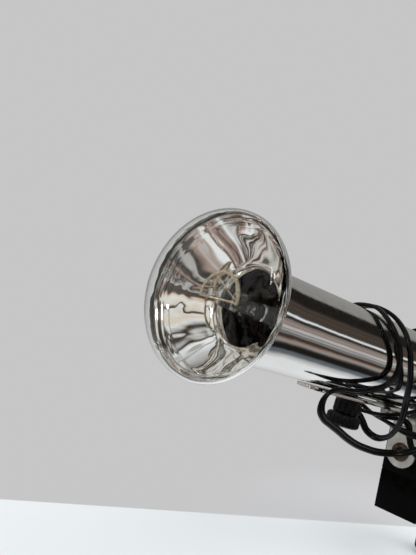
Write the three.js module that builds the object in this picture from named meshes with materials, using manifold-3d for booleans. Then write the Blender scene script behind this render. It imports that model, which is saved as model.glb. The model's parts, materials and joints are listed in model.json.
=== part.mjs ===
// Clamp spotlight: a chromed tube with a large mirrored reflector bulb, tilting and swivelling on a screw clamp,
// with its flat black cord wound round the tube and the rest tied in a hank behind it.
// Millimetres. +Z is up, the lamp looks towards -X, and the clamp opens towards +X.
// The origin is the centre of the upper jaw's pad, on its underside, over the clamp screw.
import * as THREE from 'three';
import { mergeVertices } from 'three/addons/utils/BufferGeometryUtils.js';
import Module from 'manifold-3d';

const wasm = await Module();
wasm.setup();

// Driving dimensions
const gap = 0.3; // between pieces that touch

const seatBehindSwivel = 72; // the clamp screw's axis, behind the swivel plate's front face
const seatAboveSwivel = 6; // the upper pad's underside, above the swivel's axis
const clampAside = 3.5; // the clamp's middle lies this far to the -Y side of the swivel's axis

const plateWidth = 24;
const plateThick = 2;
const plateTop = 19; // where the plate starts to narrow to its hinge, above the swivel's axis
const pivotAbove = 28.2; // the tilt hinge's axis, above the swivel's axis
const knuckle = { outer: 4.5, bore: 2.6 }; // radii of the rolled hinge eyes
const strapKnuckleHalf = 4.4; // half the width of the strap's single eye
const plateKnuckle = [4.8, 10.5]; // the plate's two eyes, from the middle outwards

const rivet = { head: 7, headThick: 1, shank: 4.6, bore: 3.4 };
const washerThick = 0.5;
const washerRadius = 10;

const block = { width: 35.4, height: 67, above: 18, thick: 6, round: 4, seam: -18 };
const blockScrews = { apart: 16, aboveJaw: 9 }; // between the two, and their height above the lower jaw
const frameWidth = 28;
const frameThick = 5; // both jaws
const webThick = 4;
const jawTop = 13; // the upper jaw's top, above the swivel's axis
const throat = 52; // from the upper jaw's underside to the lower jaw's top
const jawReach = 14; // the jaws' ends, behind the clamp screw's axis
const padThick = 2;
const padLength = 54;

const screwRadius = 5;
const screwPitch = 2;
const screwLength = 62;
const screwTip = { radius: 3.8, length: 5 };
const nutBush = { radius: 8, flange: 11, flangeThick: 3, bore: 5.1 };
const foot = { radius: 13, thick: 3, boss: 6.5, bossHeight: 6.5, bore: 3.9, pad: 1.5 };
const openAtRest = 25; // between the pads at rest
const clampKnob = { radius: 10, height: 14, flutes: 8, flute: 2 };

const headTilt = 11.48; // degrees nose up at rest
const pivotBehind = 51.4; // the hinge's axis along the tube, behind the lamp's zero
const tube = { outer: 28, wall: 1, front: -166, rear: 60 };
const capDome = 8; // the rear cap's height behind the tube
const capWall = 2;
const capSpigot = 8;
const strap = { thick: 2, width: 20, front: -89.5, tongueFrom: 47 };
const strapScrewAt = 25;
const strapScrew = { shank: 2, head: 3.6, headThick: 2.4, nut: 3.5, nutThick: 3 };
const spacer = { radius: 7, thick: 0.7 };

const switchAt = -34; // the switch's axis along the tube
const switchNeck = { radius: 8, rib: 8.7, ribs: 12, height: 10 };
const switchBush = { radius: 5, bore: 3.3, through: 9.5 };
const switchShaft = 3.1;
const switchNut = { radius: 8, thick: 2.5 };
const switchKnob = { radius: 11.3, height: 8.5, flutes: 16, flute: 1.2 };
const cordEntry = { half: 6.6, under: 2.3, height: 6.4, reach: 8.8 }; // under the strap, round both cords

const lightLean = 0.67; // degrees that the lampholder hangs nose up in the tube
const rod = { radius: 5, bore: 3.7, front: -56, rear: 80 };
const rodNut = { radius: 8, thick: 3 };
const holder = { radius: 20, wall: 2.2, mouth: -106, split: -70, rear: -50 };
const insert = { radius: 17.5, front: -78, rear: -72 };
const shell = { outer: 14, wall: 0.5, front: -103, rear: -82.3 };
const grip = { radius: 7.5, tip: 3.4, bore: 2.7, body: 9, length: 20.4 };

const bulb = { radius: 46.5, equator: -190, dome: 22, wall: 0.9, mirrorWall: 0.4 };
const bulbCap = { outer: 13.2, wall: 0.5, front: -111, rear: -88, threads: 3, threadDepth: 0.7 };
const bulbContact = { radius: 4.6, at: -82.3 };

const cordRadius = 2.5;
const hank = { middle: 43, half: 24.5, inner: 11, step: 6.3, loops: 3, pinch: 4, y: 31.2, layer: 5.8 };
const tie = { width: 8, thick: 1.2, at: 40, clear: 0.5 };
const plug = { width: 26, neckWidth: 14, length: 36, thick: 13.5, y: 48.2, n: -5, face: 14, relief: 9 };
const plugPin = { radius: 2, length: 19, apart: 18.6 };

// Worked out from the driving dimensions
const blockFront = plateThick + gap + washerThick + gap;
const webFront = blockFront + block.thick + gap;
const jawUnder = jawTop - frameThick;
const lowerJawTop = jawUnder - throat;
const padUnder = jawUnder - padThick;
const footTop = padUnder - openAtRest; // the top of the foot's own pad at rest
const tubeInner = tube.outer - tube.wall;
const strapTop = tube.outer + gap + spacer.thick + gap;
const strapUnder = strapTop + strap.thick;
const pivotUnder = strapUnder + knuckle.outer - strap.thick; // the hinge's axis, below the tube's centre line
const entryTop = -strapUnder - cordEntry.under;
const rearCapEnd = tube.rear + gap + capWall + capDome;

// Finishes
const finish = (color, roughness, metalness, more = {}) =>
  new THREE.MeshStandardMaterial({ color, roughness, metalness, ...more });
const finishes = {
  chrome: finish(0xc9cacc, 0.06, 1),
  zinc: finish(0xb3b2aa, 0.35, 1),
  steel: finish(0x8f9194, 0.35, 1),
  brass: finish(0x6b5a35, 0.45, 1),
  blackPaint: finish(0x0b0b0b, 0.35, 0.1),
  blackGloss: finish(0x050504, 0.18, 0),
  blackPlastic: finish(0x0d0d0d, 0.4, 0),
  cord: finish(0x090909, 0.35, 0),
  rubber: finish(0x1c1c1c, 0.8, 0),
  bakelite: finish(0x15110e, 0.3, 0),
  porcelain: finish(0xe8e4da, 0.25, 0),
  fibre: finish(0x3a2c1e, 0.8, 0),
  nickel: finish(0xc0bcae, 0.25, 1),
  solder: finish(0x9fa1a4, 0.4, 1),
  glass: finish(0xf2f5f5, 0.02, 0, { transparent: true, opacity: 0.25 }),
  mirror: finish(0xd8d8d8, 0.03, 1),
  tungsten: finish(0x6f7174, 0.4, 1),
};

// Solids

/** Merges a geometry's shared points, leaves out flat triangles and turns its faces outwards. */
function closed(geometry) {
  const bare = geometry.clone();
  for (const name of Object.keys(bare.attributes)) if (name !== 'position') bare.deleteAttribute(name);
  const merged = mergeVertices(bare, 1e-4);
  const corners = merged.index.array;
  const place = merged.attributes.position;
  const [a, b, c] = [new THREE.Vector3(), new THREE.Vector3(), new THREE.Vector3()];
  const kept = [];
  let volume = 0;
  for (let i = 0; i < corners.length; i += 3) {
    const [p, q, r] = [corners[i], corners[i + 1], corners[i + 2]];
    if (p === q || q === r || r === p) continue;
    kept.push(p, q, r);
    a.fromBufferAttribute(place, p);
    b.fromBufferAttribute(place, q);
    c.fromBufferAttribute(place, r);
    volume += a.dot(b.cross(c));
  }
  if (volume < 0) for (let i = 0; i < kept.length; i += 3) [kept[i + 1], kept[i + 2]] = [kept[i + 2], kept[i + 1]];
  merged.setIndex(kept);
  return merged;
}

function toManifold(geometry) {
  const merged = closed(geometry);
  return new wasm.Manifold(
    new wasm.Mesh({
      numProp: 3,
      vertProperties: new Float32Array(merged.attributes.position.array),
      triVerts: new Uint32Array(merged.index.array),
    }),
  );
}

function fromManifold(manifold) {
  const mesh = manifold.getMesh();
  const geometry = new THREE.BufferGeometry();
  geometry.setAttribute('position', new THREE.BufferAttribute(new Float32Array(mesh.vertProperties), 3));
  geometry.setIndex(new THREE.BufferAttribute(new Uint32Array(mesh.triVerts), 1));
  return geometry;
}

/** The first geometry without the others. */
const cut = (base, ...tools) =>
  fromManifold(tools.reduce((left, tool) => left.subtract(toManifold(tool)), toManifold(base)));

/** All the geometries as one solid, or as one group of solids where they lie apart. */
const join = (...pieces) => fromManifold(pieces.map(toManifold).reduce((sum, piece) => sum.add(piece)));

/** A body of revolution about the X axis, from a list of [x, radius] points. */
function turned(profile, segments = 32) {
  const points = profile.map(([x, radius]) => new THREE.Vector2(Math.max(radius, 0), x));
  return new THREE.LatheGeometry(points, segments).rotateZ(-Math.PI / 2);
}

/** A ring or tube about the X axis; an inner radius of 0 makes a plain cylinder. */
function ring(from, to, outer, inner = 0, segments = 32) {
  const profile = [[from, inner], [from, outer], [to, outer], [to, inner]];
  if (inner > 0) profile.push([from, inner]);
  return turned(profile, segments);
}

const aboutZ = (geometry) => geometry.rotateY(-Math.PI / 2); // X becomes Z
const aboutY = (geometry) => geometry.rotateZ(Math.PI / 2); // X becomes Y
const box = (sx, sy, sz, x, y, z) => new THREE.BoxGeometry(sx, sy, sz).translate(x, y, z);
const hexPrism = (from, to, radius, bore) =>
  bore ? cut(ring(from, to, radius, 0, 6), ring(from - 1, to + 1, bore, 0, 20)) : ring(from, to, radius, 0, 6);

/** A flat outline in X and Y, thickened along Z. */
const slab = (shape, from, to, curveSegments = 12) =>
  new THREE.ExtrudeGeometry(shape, { depth: to - from, bevelEnabled: false, curveSegments }).translate(0, 0, from);

/** A round knob about the X axis with flutes cut along its edge. */
function flutedKnob(from, to, radius, flutes, flute, bore = 0) {
  const edge = Math.min(1.2, (to - from) / 4);
  const body = turned([[from, 0], [from, radius - edge], [from + edge, radius], [to - edge, radius], [to, radius - edge], [to, 0]], 24);
  const cutters = [];
  for (let i = 0; i < flutes; i += 1) {
    const angle = (i * 2 * Math.PI) / flutes;
    cutters.push(ring(from - 1, to + 1, flute, 0, 6).translate(0, (radius + flute * 0.45) * Math.cos(angle), (radius + flute * 0.45) * Math.sin(angle)));
  }
  if (bore) cutters.push(ring(from - 1, to + 1, bore, 0, 20));
  return cut(body, ...cutters);
}

const toPoints = (list) => list.map(([s, y, n]) => new THREE.Vector3(s, y, n));

/** A round tube along a smooth line through the points. */
function cordAlong(points, steps, radius = cordRadius, sides = 8) {
  const section = new THREE.Shape();
  for (let i = 0; i < sides; i += 1) {
    const angle = (i * 2 * Math.PI) / sides;
    section[i ? 'lineTo' : 'moveTo'](radius * Math.cos(angle), radius * Math.sin(angle));
  }
  section.closePath();
  const path = new THREE.CatmullRomCurve3(points, false, 'centripetal');
  return new THREE.ExtrudeGeometry(section, { steps, extrudePath: path, bevelEnabled: false });
}

/** The least clear space between parts of a round cord that lie further apart along it than a few diameters. */
function leastGap(points, radius = cordRadius) {
  const line = new THREE.CatmullRomCurve3(points, false, 'centripetal').getSpacedPoints(points.length * 8);
  const step = line[0].distanceTo(line[1]);
  const skip = Math.ceil((radius * 2 * Math.PI) / step);
  let least = Infinity;
  for (let i = 0; i < line.length; i += 1) {
    for (let j = i + skip; j < line.length; j += 1) least = Math.min(least, line[i].distanceTo(line[j]));
  }
  return least - 2 * radius;
}

// Groups: each is named by what it holds and placed once
const lamp = new THREE.Group();
const atSwivel = new THREE.Group(); // zero is on the swivel's axis, at the plate's front face
atSwivel.position.set(-seatBehindSwivel, clampAside, -seatAboveSwivel);
lamp.add(atSwivel);
const clamp = new THREE.Group();
clamp.position.set(0, -clampAside, 0);
const clampScrewAxis = new THREE.Group();
clampScrewAxis.position.set(seatBehindSwivel, -clampAside, 0);
const head = new THREE.Group(); // X runs rearwards along the tube, Z up from its centre line
head.rotation.y = THREE.MathUtils.degToRad(headTilt);
const tilt = THREE.MathUtils.degToRad(headTilt);
const pivotX = plateThick - knuckle.outer; // the eyes are rolled forwards, clear of the block
head.position.set(
  pivotX - pivotBehind * Math.cos(tilt) + pivotUnder * Math.sin(tilt),
  0,
  pivotAbove + pivotBehind * Math.sin(tilt) + pivotUnder * Math.cos(tilt),
);
const lightLine = new THREE.Group(); // the lampholder and bulb, hanging from the rear cap
lightLine.rotation.y = THREE.MathUtils.degToRad(lightLean);
lightLine.position.set(tube.rear, 0, 0);
head.add(lightLine);
atSwivel.add(clamp, clampScrewAxis, head);

function add(parent, name, geometry, material) {
  const mesh = new THREE.Mesh(closed(geometry), finishes[material]);
  mesh.name = name;
  parent.add(mesh);
  return mesh;
}

// Clamp

/** The C-shaped frame, cut from one outline and pierced for the rivet, the block's screws and the clamp nut. */
function clampFrame() {
  const end = seatBehindSwivel + jawReach;
  const low = lowerJawTop - frameThick;
  const inner = webFront + webThick;
  const corner = 3;
  const outline = new THREE.Shape();
  outline.moveTo(webFront, low + 1);
  outline.lineTo(webFront + 1, low);
  outline.lineTo(end - corner, low);
  outline.lineTo(end, low + corner);
  outline.lineTo(end, lowerJawTop);
  outline.lineTo(inner + corner, lowerJawTop);
  outline.lineTo(inner, lowerJawTop + corner);
  outline.lineTo(inner, jawUnder - 1);
  outline.lineTo(inner + 1, jawUnder);
  outline.lineTo(end, jawUnder);
  outline.lineTo(end, jawTop - corner);
  outline.lineTo(end - corner, jawTop);
  outline.lineTo(webFront + 1, jawTop);
  outline.lineTo(webFront, jawTop - 1);
  outline.closePath();
  const body = slab(outline, -frameWidth / 2, frameWidth / 2).rotateX(Math.PI / 2);
  return cut(
    body,
    ring(webFront - 5, inner + 5, rivet.shank + 0.2, 0, 24).translate(0, clampAside, 0),
    ...blockScrewPlaces().map(([y, z]) => ring(webFront - 5, inner + 5, 1.9, 0, 12).translate(0, y, z)),
    aboutZ(ring(low - 5, lowerJawTop + 5, nutBush.radius + gap, 0, 28)).translate(seatBehindSwivel, 0, 0),
  );
}

const sides = ['near', 'far']; // the -Y side, then the +Y side
const blockScrewPlaces = () => [-0.5, 0.5].map((side) => [side * blockScrews.apart, lowerJawTop + blockScrews.aboveJaw]);

/** The black front block: rounded at its upright edges, with a seam line across its front. */
function frontBlock() {
  const half = block.width / 2;
  const r = block.round;
  const low = block.above - block.height;
  const outline = new THREE.Shape();
  outline.moveTo(-half, low);
  outline.lineTo(half, low);
  outline.lineTo(half, block.above - r);
  outline.absarc(half - r, block.above - r, r, 0, Math.PI / 2, false);
  outline.lineTo(-half + r, block.above);
  outline.absarc(-half + r, block.above - r, r, Math.PI / 2, Math.PI, false);
  outline.closePath();
  // the outline's X and Y become the block's Y and Z
  const upright = (from, to, scale = 1) => {
    const body = slab(outline, from, to, 6);
    body.scale(scale, 1, 1);
    return body.rotateX(Math.PI / 2).rotateZ(Math.PI / 2);
  };
  const groove = box(0.5, block.width + 2, 0.8, blockFront + 0.2, 0, block.seam);
  return cut(
    upright(blockFront, blockFront + block.thick),
    groove,
    ring(blockFront - 5, blockFront + block.thick + 5, rivet.shank + 0.2, 0, 24).translate(0, clampAside, 0),
    ...blockScrewPlaces().map(([y, z]) => ring(blockFront + 2, blockFront + block.thick + 5, 1.9, 0, 12).translate(0, y, z)),
  );
}

/** One of the two screws that pass through the frame's web into the block. */
function blockScrew([y, z]) {
  const tip = blockFront + 2.6;
  const back = webFront + webThick + gap;
  const profile = [[tip, 0], [tip, 1.5], [back, 1.5], [back, 3], [back + 1.2, 3], [back + 2, 1.6], [back + 2, 0]];
  return turned(profile, 12).translate(0, y, z);
}

/** The hollow rivet that the bracket turns on, with a flange at each end. */
function swivelRivet() {
  const front = -gap - rivet.headThick;
  const back = webFront + webThick + gap;
  const profile = [
    [front + 0.4, rivet.bore], [front, rivet.bore + 1], [front, rivet.head - 1], [front + 0.5, rivet.head], [-gap, rivet.head],
    [-gap, rivet.shank], [back, rivet.shank], [back, rivet.head - 0.6], [back + rivet.headThick, rivet.head - 1.4],
    [back + rivet.headThick, rivet.bore], [front + 0.4, rivet.bore],
  ];
  return turned(profile, 20);
}

add(clamp, 'clamp_frame', clampFrame(), 'blackPaint');
add(clamp, 'front_block', frontBlock(), 'blackGloss');
blockScrewPlaces().forEach((place, i) => add(clamp, `block_screw_${sides[i]}`, blockScrew(place), 'steel'));
add(atSwivel, 'swivel_rivet', swivelRivet(), 'brass');
add(atSwivel, 'friction_washer',
  ring(plateThick + gap, plateThick + gap + washerThick, washerRadius, rivet.shank + 0.3, 24), 'fibre');
add(clamp, 'upper_jaw_pad',
  box(padLength, frameWidth - 2, padThick - gap, seatBehindSwivel + jawReach - 2 - padLength / 2, 0, padUnder + (padThick - gap) / 2),
  'rubber');
add(clampScrewAxis, 'clamp_nut', aboutZ(turned([
  [lowerJawTop - frameThick - gap - nutBush.flangeThick, nutBush.bore], [lowerJawTop - frameThick - gap - nutBush.flangeThick, nutBush.flange],
  [lowerJawTop - frameThick - gap, nutBush.flange], [lowerJawTop - frameThick - gap, nutBush.radius],
  [lowerJawTop - 0.5, nutBush.radius], [lowerJawTop - 0.5, nutBush.bore],
  [lowerJawTop - frameThick - gap - nutBush.flangeThick, nutBush.bore],
], 20)), 'steel');

// The clamp's foot, which slides, and its screw, which turns
const footUnder = footTop - foot.pad - gap - foot.thick;
add(clampScrewAxis, 'foot_pad', aboutZ(ring(footTop - foot.pad, footTop, foot.radius - 1, 0, 32)), 'rubber');
add(clampScrewAxis, 'clamp_foot', aboutZ(turned([
  [footUnder + foot.thick, 0], [footUnder + foot.thick, foot.radius], [footUnder + 1, foot.radius], [footUnder, foot.radius - 1],
  [footUnder, foot.boss], [footUnder + foot.thick - foot.bossHeight, foot.boss], [footUnder + foot.thick - foot.bossHeight, foot.bore],
  [footUnder + foot.thick - 1.2, foot.bore], [footUnder + foot.thick - 1.2, 0],
], 24)), 'steel');

const tipTop = footUnder + foot.thick - 1.2 - gap;
const shankTop = footUnder + foot.thick - foot.bossHeight - gap;
const screwEnd = shankTop - screwLength;

/** The clamp screw: a plain tip in the foot, then a threaded shank drawn as ridges at its pitch. */
function clampScrew() {
  const profile = [[tipTop, 0], [tipTop, screwTip.radius], [shankTop, screwTip.radius], [shankTop, screwRadius - 1]];
  const turns = Math.floor((screwLength - 4) / (2 * screwPitch));
  for (let i = 0; i < turns; i += 1) {
    const top = shankTop - 0.8 - 2 * i * screwPitch;
    profile.push([top, screwRadius], [top - 2 * screwPitch + 0.6, screwRadius - 0.7]);
  }
  profile.push([screwEnd, screwRadius - 0.7], [screwEnd, 0]);
  return aboutZ(turned(profile.reverse(), 10));
}
add(clampScrewAxis, 'clamp_screw', clampScrew(), 'zinc');
add(clampScrewAxis, 'clamp_knob', aboutZ(cut(
  flutedKnob(screwEnd - 3, screwEnd - 3 + clampKnob.height, clampKnob.radius, clampKnob.flutes, clampKnob.flute),
  ring(screwEnd - gap, screwEnd + clampKnob.height, screwRadius + gap, 0, 20),
)), 'blackPlastic');

// Swivel bracket

/** A rolled hinge eye about the Y axis. */
const eye = (from, to) => aboutY(ring(from, to, knuckle.outer, knuckle.bore, 16));

/** The upright plate: round at its foot, notched at its top, with two rolled eyes. */
function swivelPlate() {
  const half = plateWidth / 2;
  const [inside, outside] = plateKnuckle;
  const outline = new THREE.Shape();
  outline.absarc(0, 0, half, Math.PI, 2 * Math.PI, false);
  outline.lineTo(half, plateTop);
  outline.lineTo(outside, plateTop + 3);
  outline.lineTo(outside, pivotAbove - 1);
  outline.lineTo(inside, pivotAbove - 1);
  outline.lineTo(inside, plateTop + 1);
  outline.lineTo(-inside, plateTop + 1);
  outline.lineTo(-inside, pivotAbove - 1);
  outline.lineTo(-outside, pivotAbove - 1);
  outline.lineTo(-outside, plateTop + 3);
  outline.lineTo(-half, plateTop);
  outline.closePath();
  const hole = new THREE.Path();
  hole.absarc(0, 0, rivet.shank + 0.2, 0, 2 * Math.PI, true);
  outline.holes.push(hole);
  const plate = slab(outline, 0, plateThick, 12).rotateX(Math.PI / 2).rotateZ(Math.PI / 2);
  const bored = cut(plate, aboutY(ring(-half, half, knuckle.bore, 0, 20)).translate(pivotX, 0, pivotAbove));
  return join(
    bored,
    eye(inside, outside).translate(pivotX, 0, pivotAbove),
    eye(-outside, -inside).translate(pivotX, 0, pivotAbove),
  );
}

/** The tilt hinge's bolt: a domed head on the near side and a plain shank. */
function tiltBolt() {
  const face = plateKnuckle[1] + gap + 1 + gap;
  return aboutY(turned([
    [-face - 3, 0], [-face - 3, 2], [-face - 2, 4], [-face, 4.4], [-face, 2.5], [face + 8, 2.5], [face + 8, 0],
  ], 16)).translate(pivotX, 0, pivotAbove);
}

const washerFrom = plateKnuckle[1] + gap;
add(atSwivel, 'swivel_plate', swivelPlate(), 'zinc');
add(atSwivel, 'tilt_bolt', tiltBolt(), 'steel');
add(atSwivel, 'tilt_washer_far', aboutY(ring(washerFrom, washerFrom + 1, 5, 2.8, 12)).translate(pivotX, 0, pivotAbove), 'steel');
add(atSwivel, 'tilt_washer_near', aboutY(ring(-washerFrom - 1, -washerFrom, 5, 2.8, 12)).translate(pivotX, 0, pivotAbove), 'steel');
add(atSwivel, 'tilt_nut', aboutY(flutedKnob(washerFrom + 1 + gap, washerFrom + 1 + gap + 7, 6.2, 8, 0.9, 2.6)).translate(pivotX, 0, pivotAbove), 'steel');

// Lamp head: the strap and the tube

/** A round hole through the strap or the tube's underside. */
const downHole = (s, radius) => aboutZ(ring(-strapUnder - 3, -tubeInner + 4, radius, 0, 24)).translate(s, 0, 0);

/** The chromed strap under the tube: rounded at its front tip, necked at the rear into its hinge eye. */
function strapSolid() {
  const half = strap.width / 2;
  const neck = strapKnuckleHalf;
  const outline = new THREE.Shape();
  outline.absarc(strap.front + half, 0, half, Math.PI / 2, (3 * Math.PI) / 2, false);
  outline.lineTo(strap.tongueFrom - 3, -half);
  outline.lineTo(strap.tongueFrom, -neck);
  outline.lineTo(pivotBehind, -neck);
  outline.lineTo(pivotBehind, neck);
  outline.lineTo(strap.tongueFrom, neck);
  outline.lineTo(strap.tongueFrom - 3, half);
  outline.closePath();
  const flat = slab(outline, -strapUnder, -strapTop, 10);
  const bored = cut(
    flat,
    aboutY(ring(-half, half, knuckle.bore, 0, 20)).translate(pivotBehind, 0, -pivotUnder),
    downHole(switchAt, switchBush.radius + gap),
    downHole(strapScrewAt, strapScrew.shank + gap),
  );
  return join(bored, eye(-neck, neck).translate(pivotBehind, 0, -pivotUnder));
}

/** The tube: a plain chromed pipe with a rolled front lip, pierced below for the switch and the screw. */
function lampTube() {
  const lip = 1.2;
  const pipe = turned([
    [tube.front + lip, tube.outer], [tube.rear, tube.outer], [tube.rear, tubeInner], [tube.front + lip, tubeInner],
    [tube.front, tubeInner + 0.25], [tube.front, tube.outer - 0.25], [tube.front + lip, tube.outer],
  ], 48);
  return cut(pipe, downHole(switchAt, switchBush.radius + gap), downHole(strapScrewAt, strapScrew.shank + gap));
}

/** The domed cap pressed into the tube's rear, with a hole for the hollow rod. */
function rearCap() {
  const seat = tube.rear + gap;
  const spigot = tubeInner - gap;
  const rodHole = rod.radius + gap;
  return turned([
    [tube.rear - capSpigot, spigot], [seat, spigot], [seat, tube.outer], [seat + capWall, tube.outer],
    [seat + capWall + capDome * 0.45, tube.outer - 3.5], [seat + capWall + capDome * 0.85, tube.outer - 11],
    [rearCapEnd, 13], [rearCapEnd, rodHole], [rearCapEnd - capWall, rodHole], [rearCapEnd - capWall, 13],
    [seat + capDome * 0.8, tube.outer - 12], [seat + 2, spigot - capWall], [tube.rear - capSpigot, spigot - capWall],
    [tube.rear - capSpigot, spigot],
  ], 24);
}

add(head, 'strap', strapSolid(), 'chrome');
add(head, 'lamp_tube', lampTube(), 'chrome');
add(head, 'rear_cap', rearCap(), 'blackPlastic');

const spacerTop = -tube.outer - gap;
const spacerRing = (radius, bore) => aboutZ(ring(spacerTop - spacer.thick, spacerTop, radius, bore, 16));
add(head, 'spacer_front', spacerRing(spacer.radius + 1.5, switchBush.radius + gap).translate(switchAt, 0, 0), 'fibre');
add(head, 'spacer_rear', spacerRing(spacer.radius, strapScrew.shank + gap).translate(strapScrewAt, 0, 0), 'fibre');
const screwNutUnder = -tubeInner + 1;
add(head, 'strap_screw', aboutZ(turned([
  [-strapUnder - gap - strapScrew.headThick, 0], [-strapUnder - gap - strapScrew.headThick, strapScrew.head - 1.4],
  [-strapUnder - gap - 0.6, strapScrew.head], [-strapUnder - gap, strapScrew.head], [-strapUnder - gap, strapScrew.shank],
  [screwNutUnder + strapScrew.nutThick + 1.5, strapScrew.shank], [screwNutUnder + strapScrew.nutThick + 1.5, 0],
], 16)).translate(strapScrewAt, 0, 0), 'steel');
add(head, 'strap_nut', aboutZ(hexPrism(screwNutUnder, screwNutUnder + strapScrew.nutThick, strapScrew.nut, strapScrew.shank + gap))
  .translate(strapScrewAt, 0, 0), 'steel');

// Switch: a ribbed body under the strap, held by a nut inside the tube, and its round knob

/** The switch's ribbed body with its threaded bush and the block where both cords go in. */
function switchBody() {
  const top = -strapUnder - gap;
  const bottom = top - switchNeck.height;
  const ribs = [];
  for (let i = 0; i < switchNeck.ribs; i += 1) {
    const angle = ((i + 0.5) * 2 * Math.PI) / switchNeck.ribs;
    ribs.push(box(2.2, 1.6, switchNeck.height - 0.8, switchNeck.radius - 0.4, 0, (top + bottom) / 2).rotateZ(angle));
  }
  const bush = ring(top - 1, top + switchBush.through, switchBush.radius, 0, 24);
  const body = join(
    aboutZ(ring(bottom, top, switchNeck.radius, 0, 24)),
    aboutZ(ring(top - 1.4, top, switchNeck.rib + 0.3, 0, 24)),
    aboutZ(bush),
    ...ribs,
    box(cordEntry.reach, 2 * cordEntry.half, cordEntry.height, cordEntry.reach / 2, 0, entryTop - cordEntry.height / 2),
  );
  return cut(body, aboutZ(ring(bottom - 5, top + switchBush.through - 3, switchBush.bore, 0, 20))).translate(switchAt, 0, 0);
}

/** The knob and its shaft up into the switch. */
const knobTop = -strapUnder - gap - switchNeck.height - gap;
add(head, 'switch_body', switchBody(), 'blackPlastic');
add(head, 'switch_nut', aboutZ(cut(
  ring(-tubeInner + 2.2, -tubeInner + 2.2 + switchNut.thick, switchNut.radius, 0, 6),
  ring(-tubeInner, -tubeInner + 8, switchBush.radius + gap, 0, 24),
)).translate(switchAt, 0, 0), 'steel');
add(head, 'switch_knob', aboutZ(cut(
  flutedKnob(knobTop - switchKnob.height, knobTop, switchKnob.radius, switchKnob.flutes, switchKnob.flute),
  ring(knobTop - switchKnob.height + 2, knobTop + 1, switchShaft + gap, 0, 20),
)).translate(switchAt, 0, 0), 'blackPlastic');
add(head, 'switch_shaft', aboutZ(ring(knobTop - switchKnob.height + 2 + gap, -strapUnder - gap + switchBush.through - 3 - gap, switchShaft, 0, 20))
  .translate(switchAt, 0, 0), 'bakelite');

// Lampholder, on a hollow rod from the rear cap. X is counted from the rear of the tube in this group
const along = (s) => s - tube.rear;
const alongAll = (profile) => profile.map(([s, r]) => [along(s), r]);
const innerHolder = holder.radius - holder.wall;

add(lightLine, 'hollow_rod', ring(along(rod.front), along(rod.rear), rod.radius, rod.bore, 24), 'zinc');
const rodNutAt = (s) => hexPrism(along(s), along(s + rodNut.thick), rodNut.radius, rod.radius + gap);
add(lightLine, 'holder_nut', rodNutAt(holder.rear + gap), 'zinc');
add(lightLine, 'cap_nut_inside', rodNutAt(rearCapEnd - capWall - gap - rodNut.thick), 'zinc');
add(lightLine, 'holder_skirt', turned(alongAll([
  [holder.mouth, innerHolder], [holder.mouth, holder.radius - 1], [holder.mouth + 1, holder.radius], [holder.split - gap, holder.radius],
  [holder.split - gap, innerHolder], [holder.mouth, innerHolder],
]), 28), 'bakelite');
add(lightLine, 'holder_dome', turned(alongAll([
  [holder.split, innerHolder], [holder.split, holder.radius], [holder.split + 8, holder.radius], [holder.rear - 4, 12],
  [holder.rear, 9], [holder.rear, rod.radius + gap], [holder.rear - 3, rod.radius + gap], [holder.rear - 5, 9],
  [holder.split + 7, innerHolder], [holder.split, innerHolder],
]), 20), 'bakelite');
add(lightLine, 'holder_insert', cut(
  ring(along(insert.front), along(insert.rear), insert.radius, 0, 32),
  ring(along(insert.front - 1), along(insert.rear + 1), 1.3, 0, 12).translate(0, 9, 0),
  ring(along(insert.front - 1), along(insert.rear + 1), 1.3, 0, 12).translate(0, -9, 0),
), 'porcelain');
add(lightLine, 'threaded_shell', turned(alongAll([
  [shell.front, shell.outer], [shell.rear, shell.outer], [shell.rear + 4, shell.outer], [shell.rear + 4, shell.outer - shell.wall],
  [shell.rear, shell.outer - shell.wall], [shell.front, shell.outer - shell.wall], [shell.front, shell.outer],
]), 24), 'nickel');

/** The spring tongue that meets the bulb's contact, bent from one strip. */
function centreContact() {
  const front = along(bulbContact.at + gap);
  const back = along(insert.front - gap);
  const thick = 0.6;
  const tongue = new THREE.Shape();
  tongue.moveTo(back, -8);
  tongue.lineTo(back, -1);
  tongue.lineTo(back - thick, -1);
  tongue.lineTo(back - thick, -6);
  tongue.lineTo(front + thick, 1);
  tongue.lineTo(front + thick, 4);
  tongue.lineTo(front, 4);
  tongue.lineTo(front, 0.6);
  tongue.lineTo(back - thick - 0.4, -8);
  tongue.closePath();
  return slab(tongue, -2.5, 2.5).rotateX(Math.PI / 2);
}
add(lightLine, 'centre_contact', centreContact(), 'nickel');

[-9, 9].forEach((y, i) => add(lightLine, `terminal_screw_${sides[i]}`, turned(alongAll([
  [insert.front + 1, 0], [insert.front + 1, 1], [insert.rear + gap, 1], [insert.rear + gap, 2.6],
  [insert.rear + 2.2, 2.6], [insert.rear + 2.8, 1.8], [insert.rear + 2.8, 0],
]), 12).translate(0, y, 0), 'nickel'));

const leadEnd = rod.front - 1.5;
const gripFrom = rearCapEnd + gap + rodNut.thick + gap;
const gripEnd = gripFrom + grip.length;
const coreLine = (side) => toPoints([
  [along(leadEnd + 2), side, 0], [along(leadEnd - 2), side * 1.8, 0], [along(leadEnd - 6), side * 5, 1], [along(insert.rear + 4.2), side * 8.5, 1],
]);
add(lightLine, 'inner_lead', join(
  ring(along(leadEnd), along(gripEnd), 2.4, 0, 12),
  cordAlong(coreLine(-1), 8, 0.9, 6),
  cordAlong(coreLine(1), 8, 0.9, 6),
), 'cord');

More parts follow.
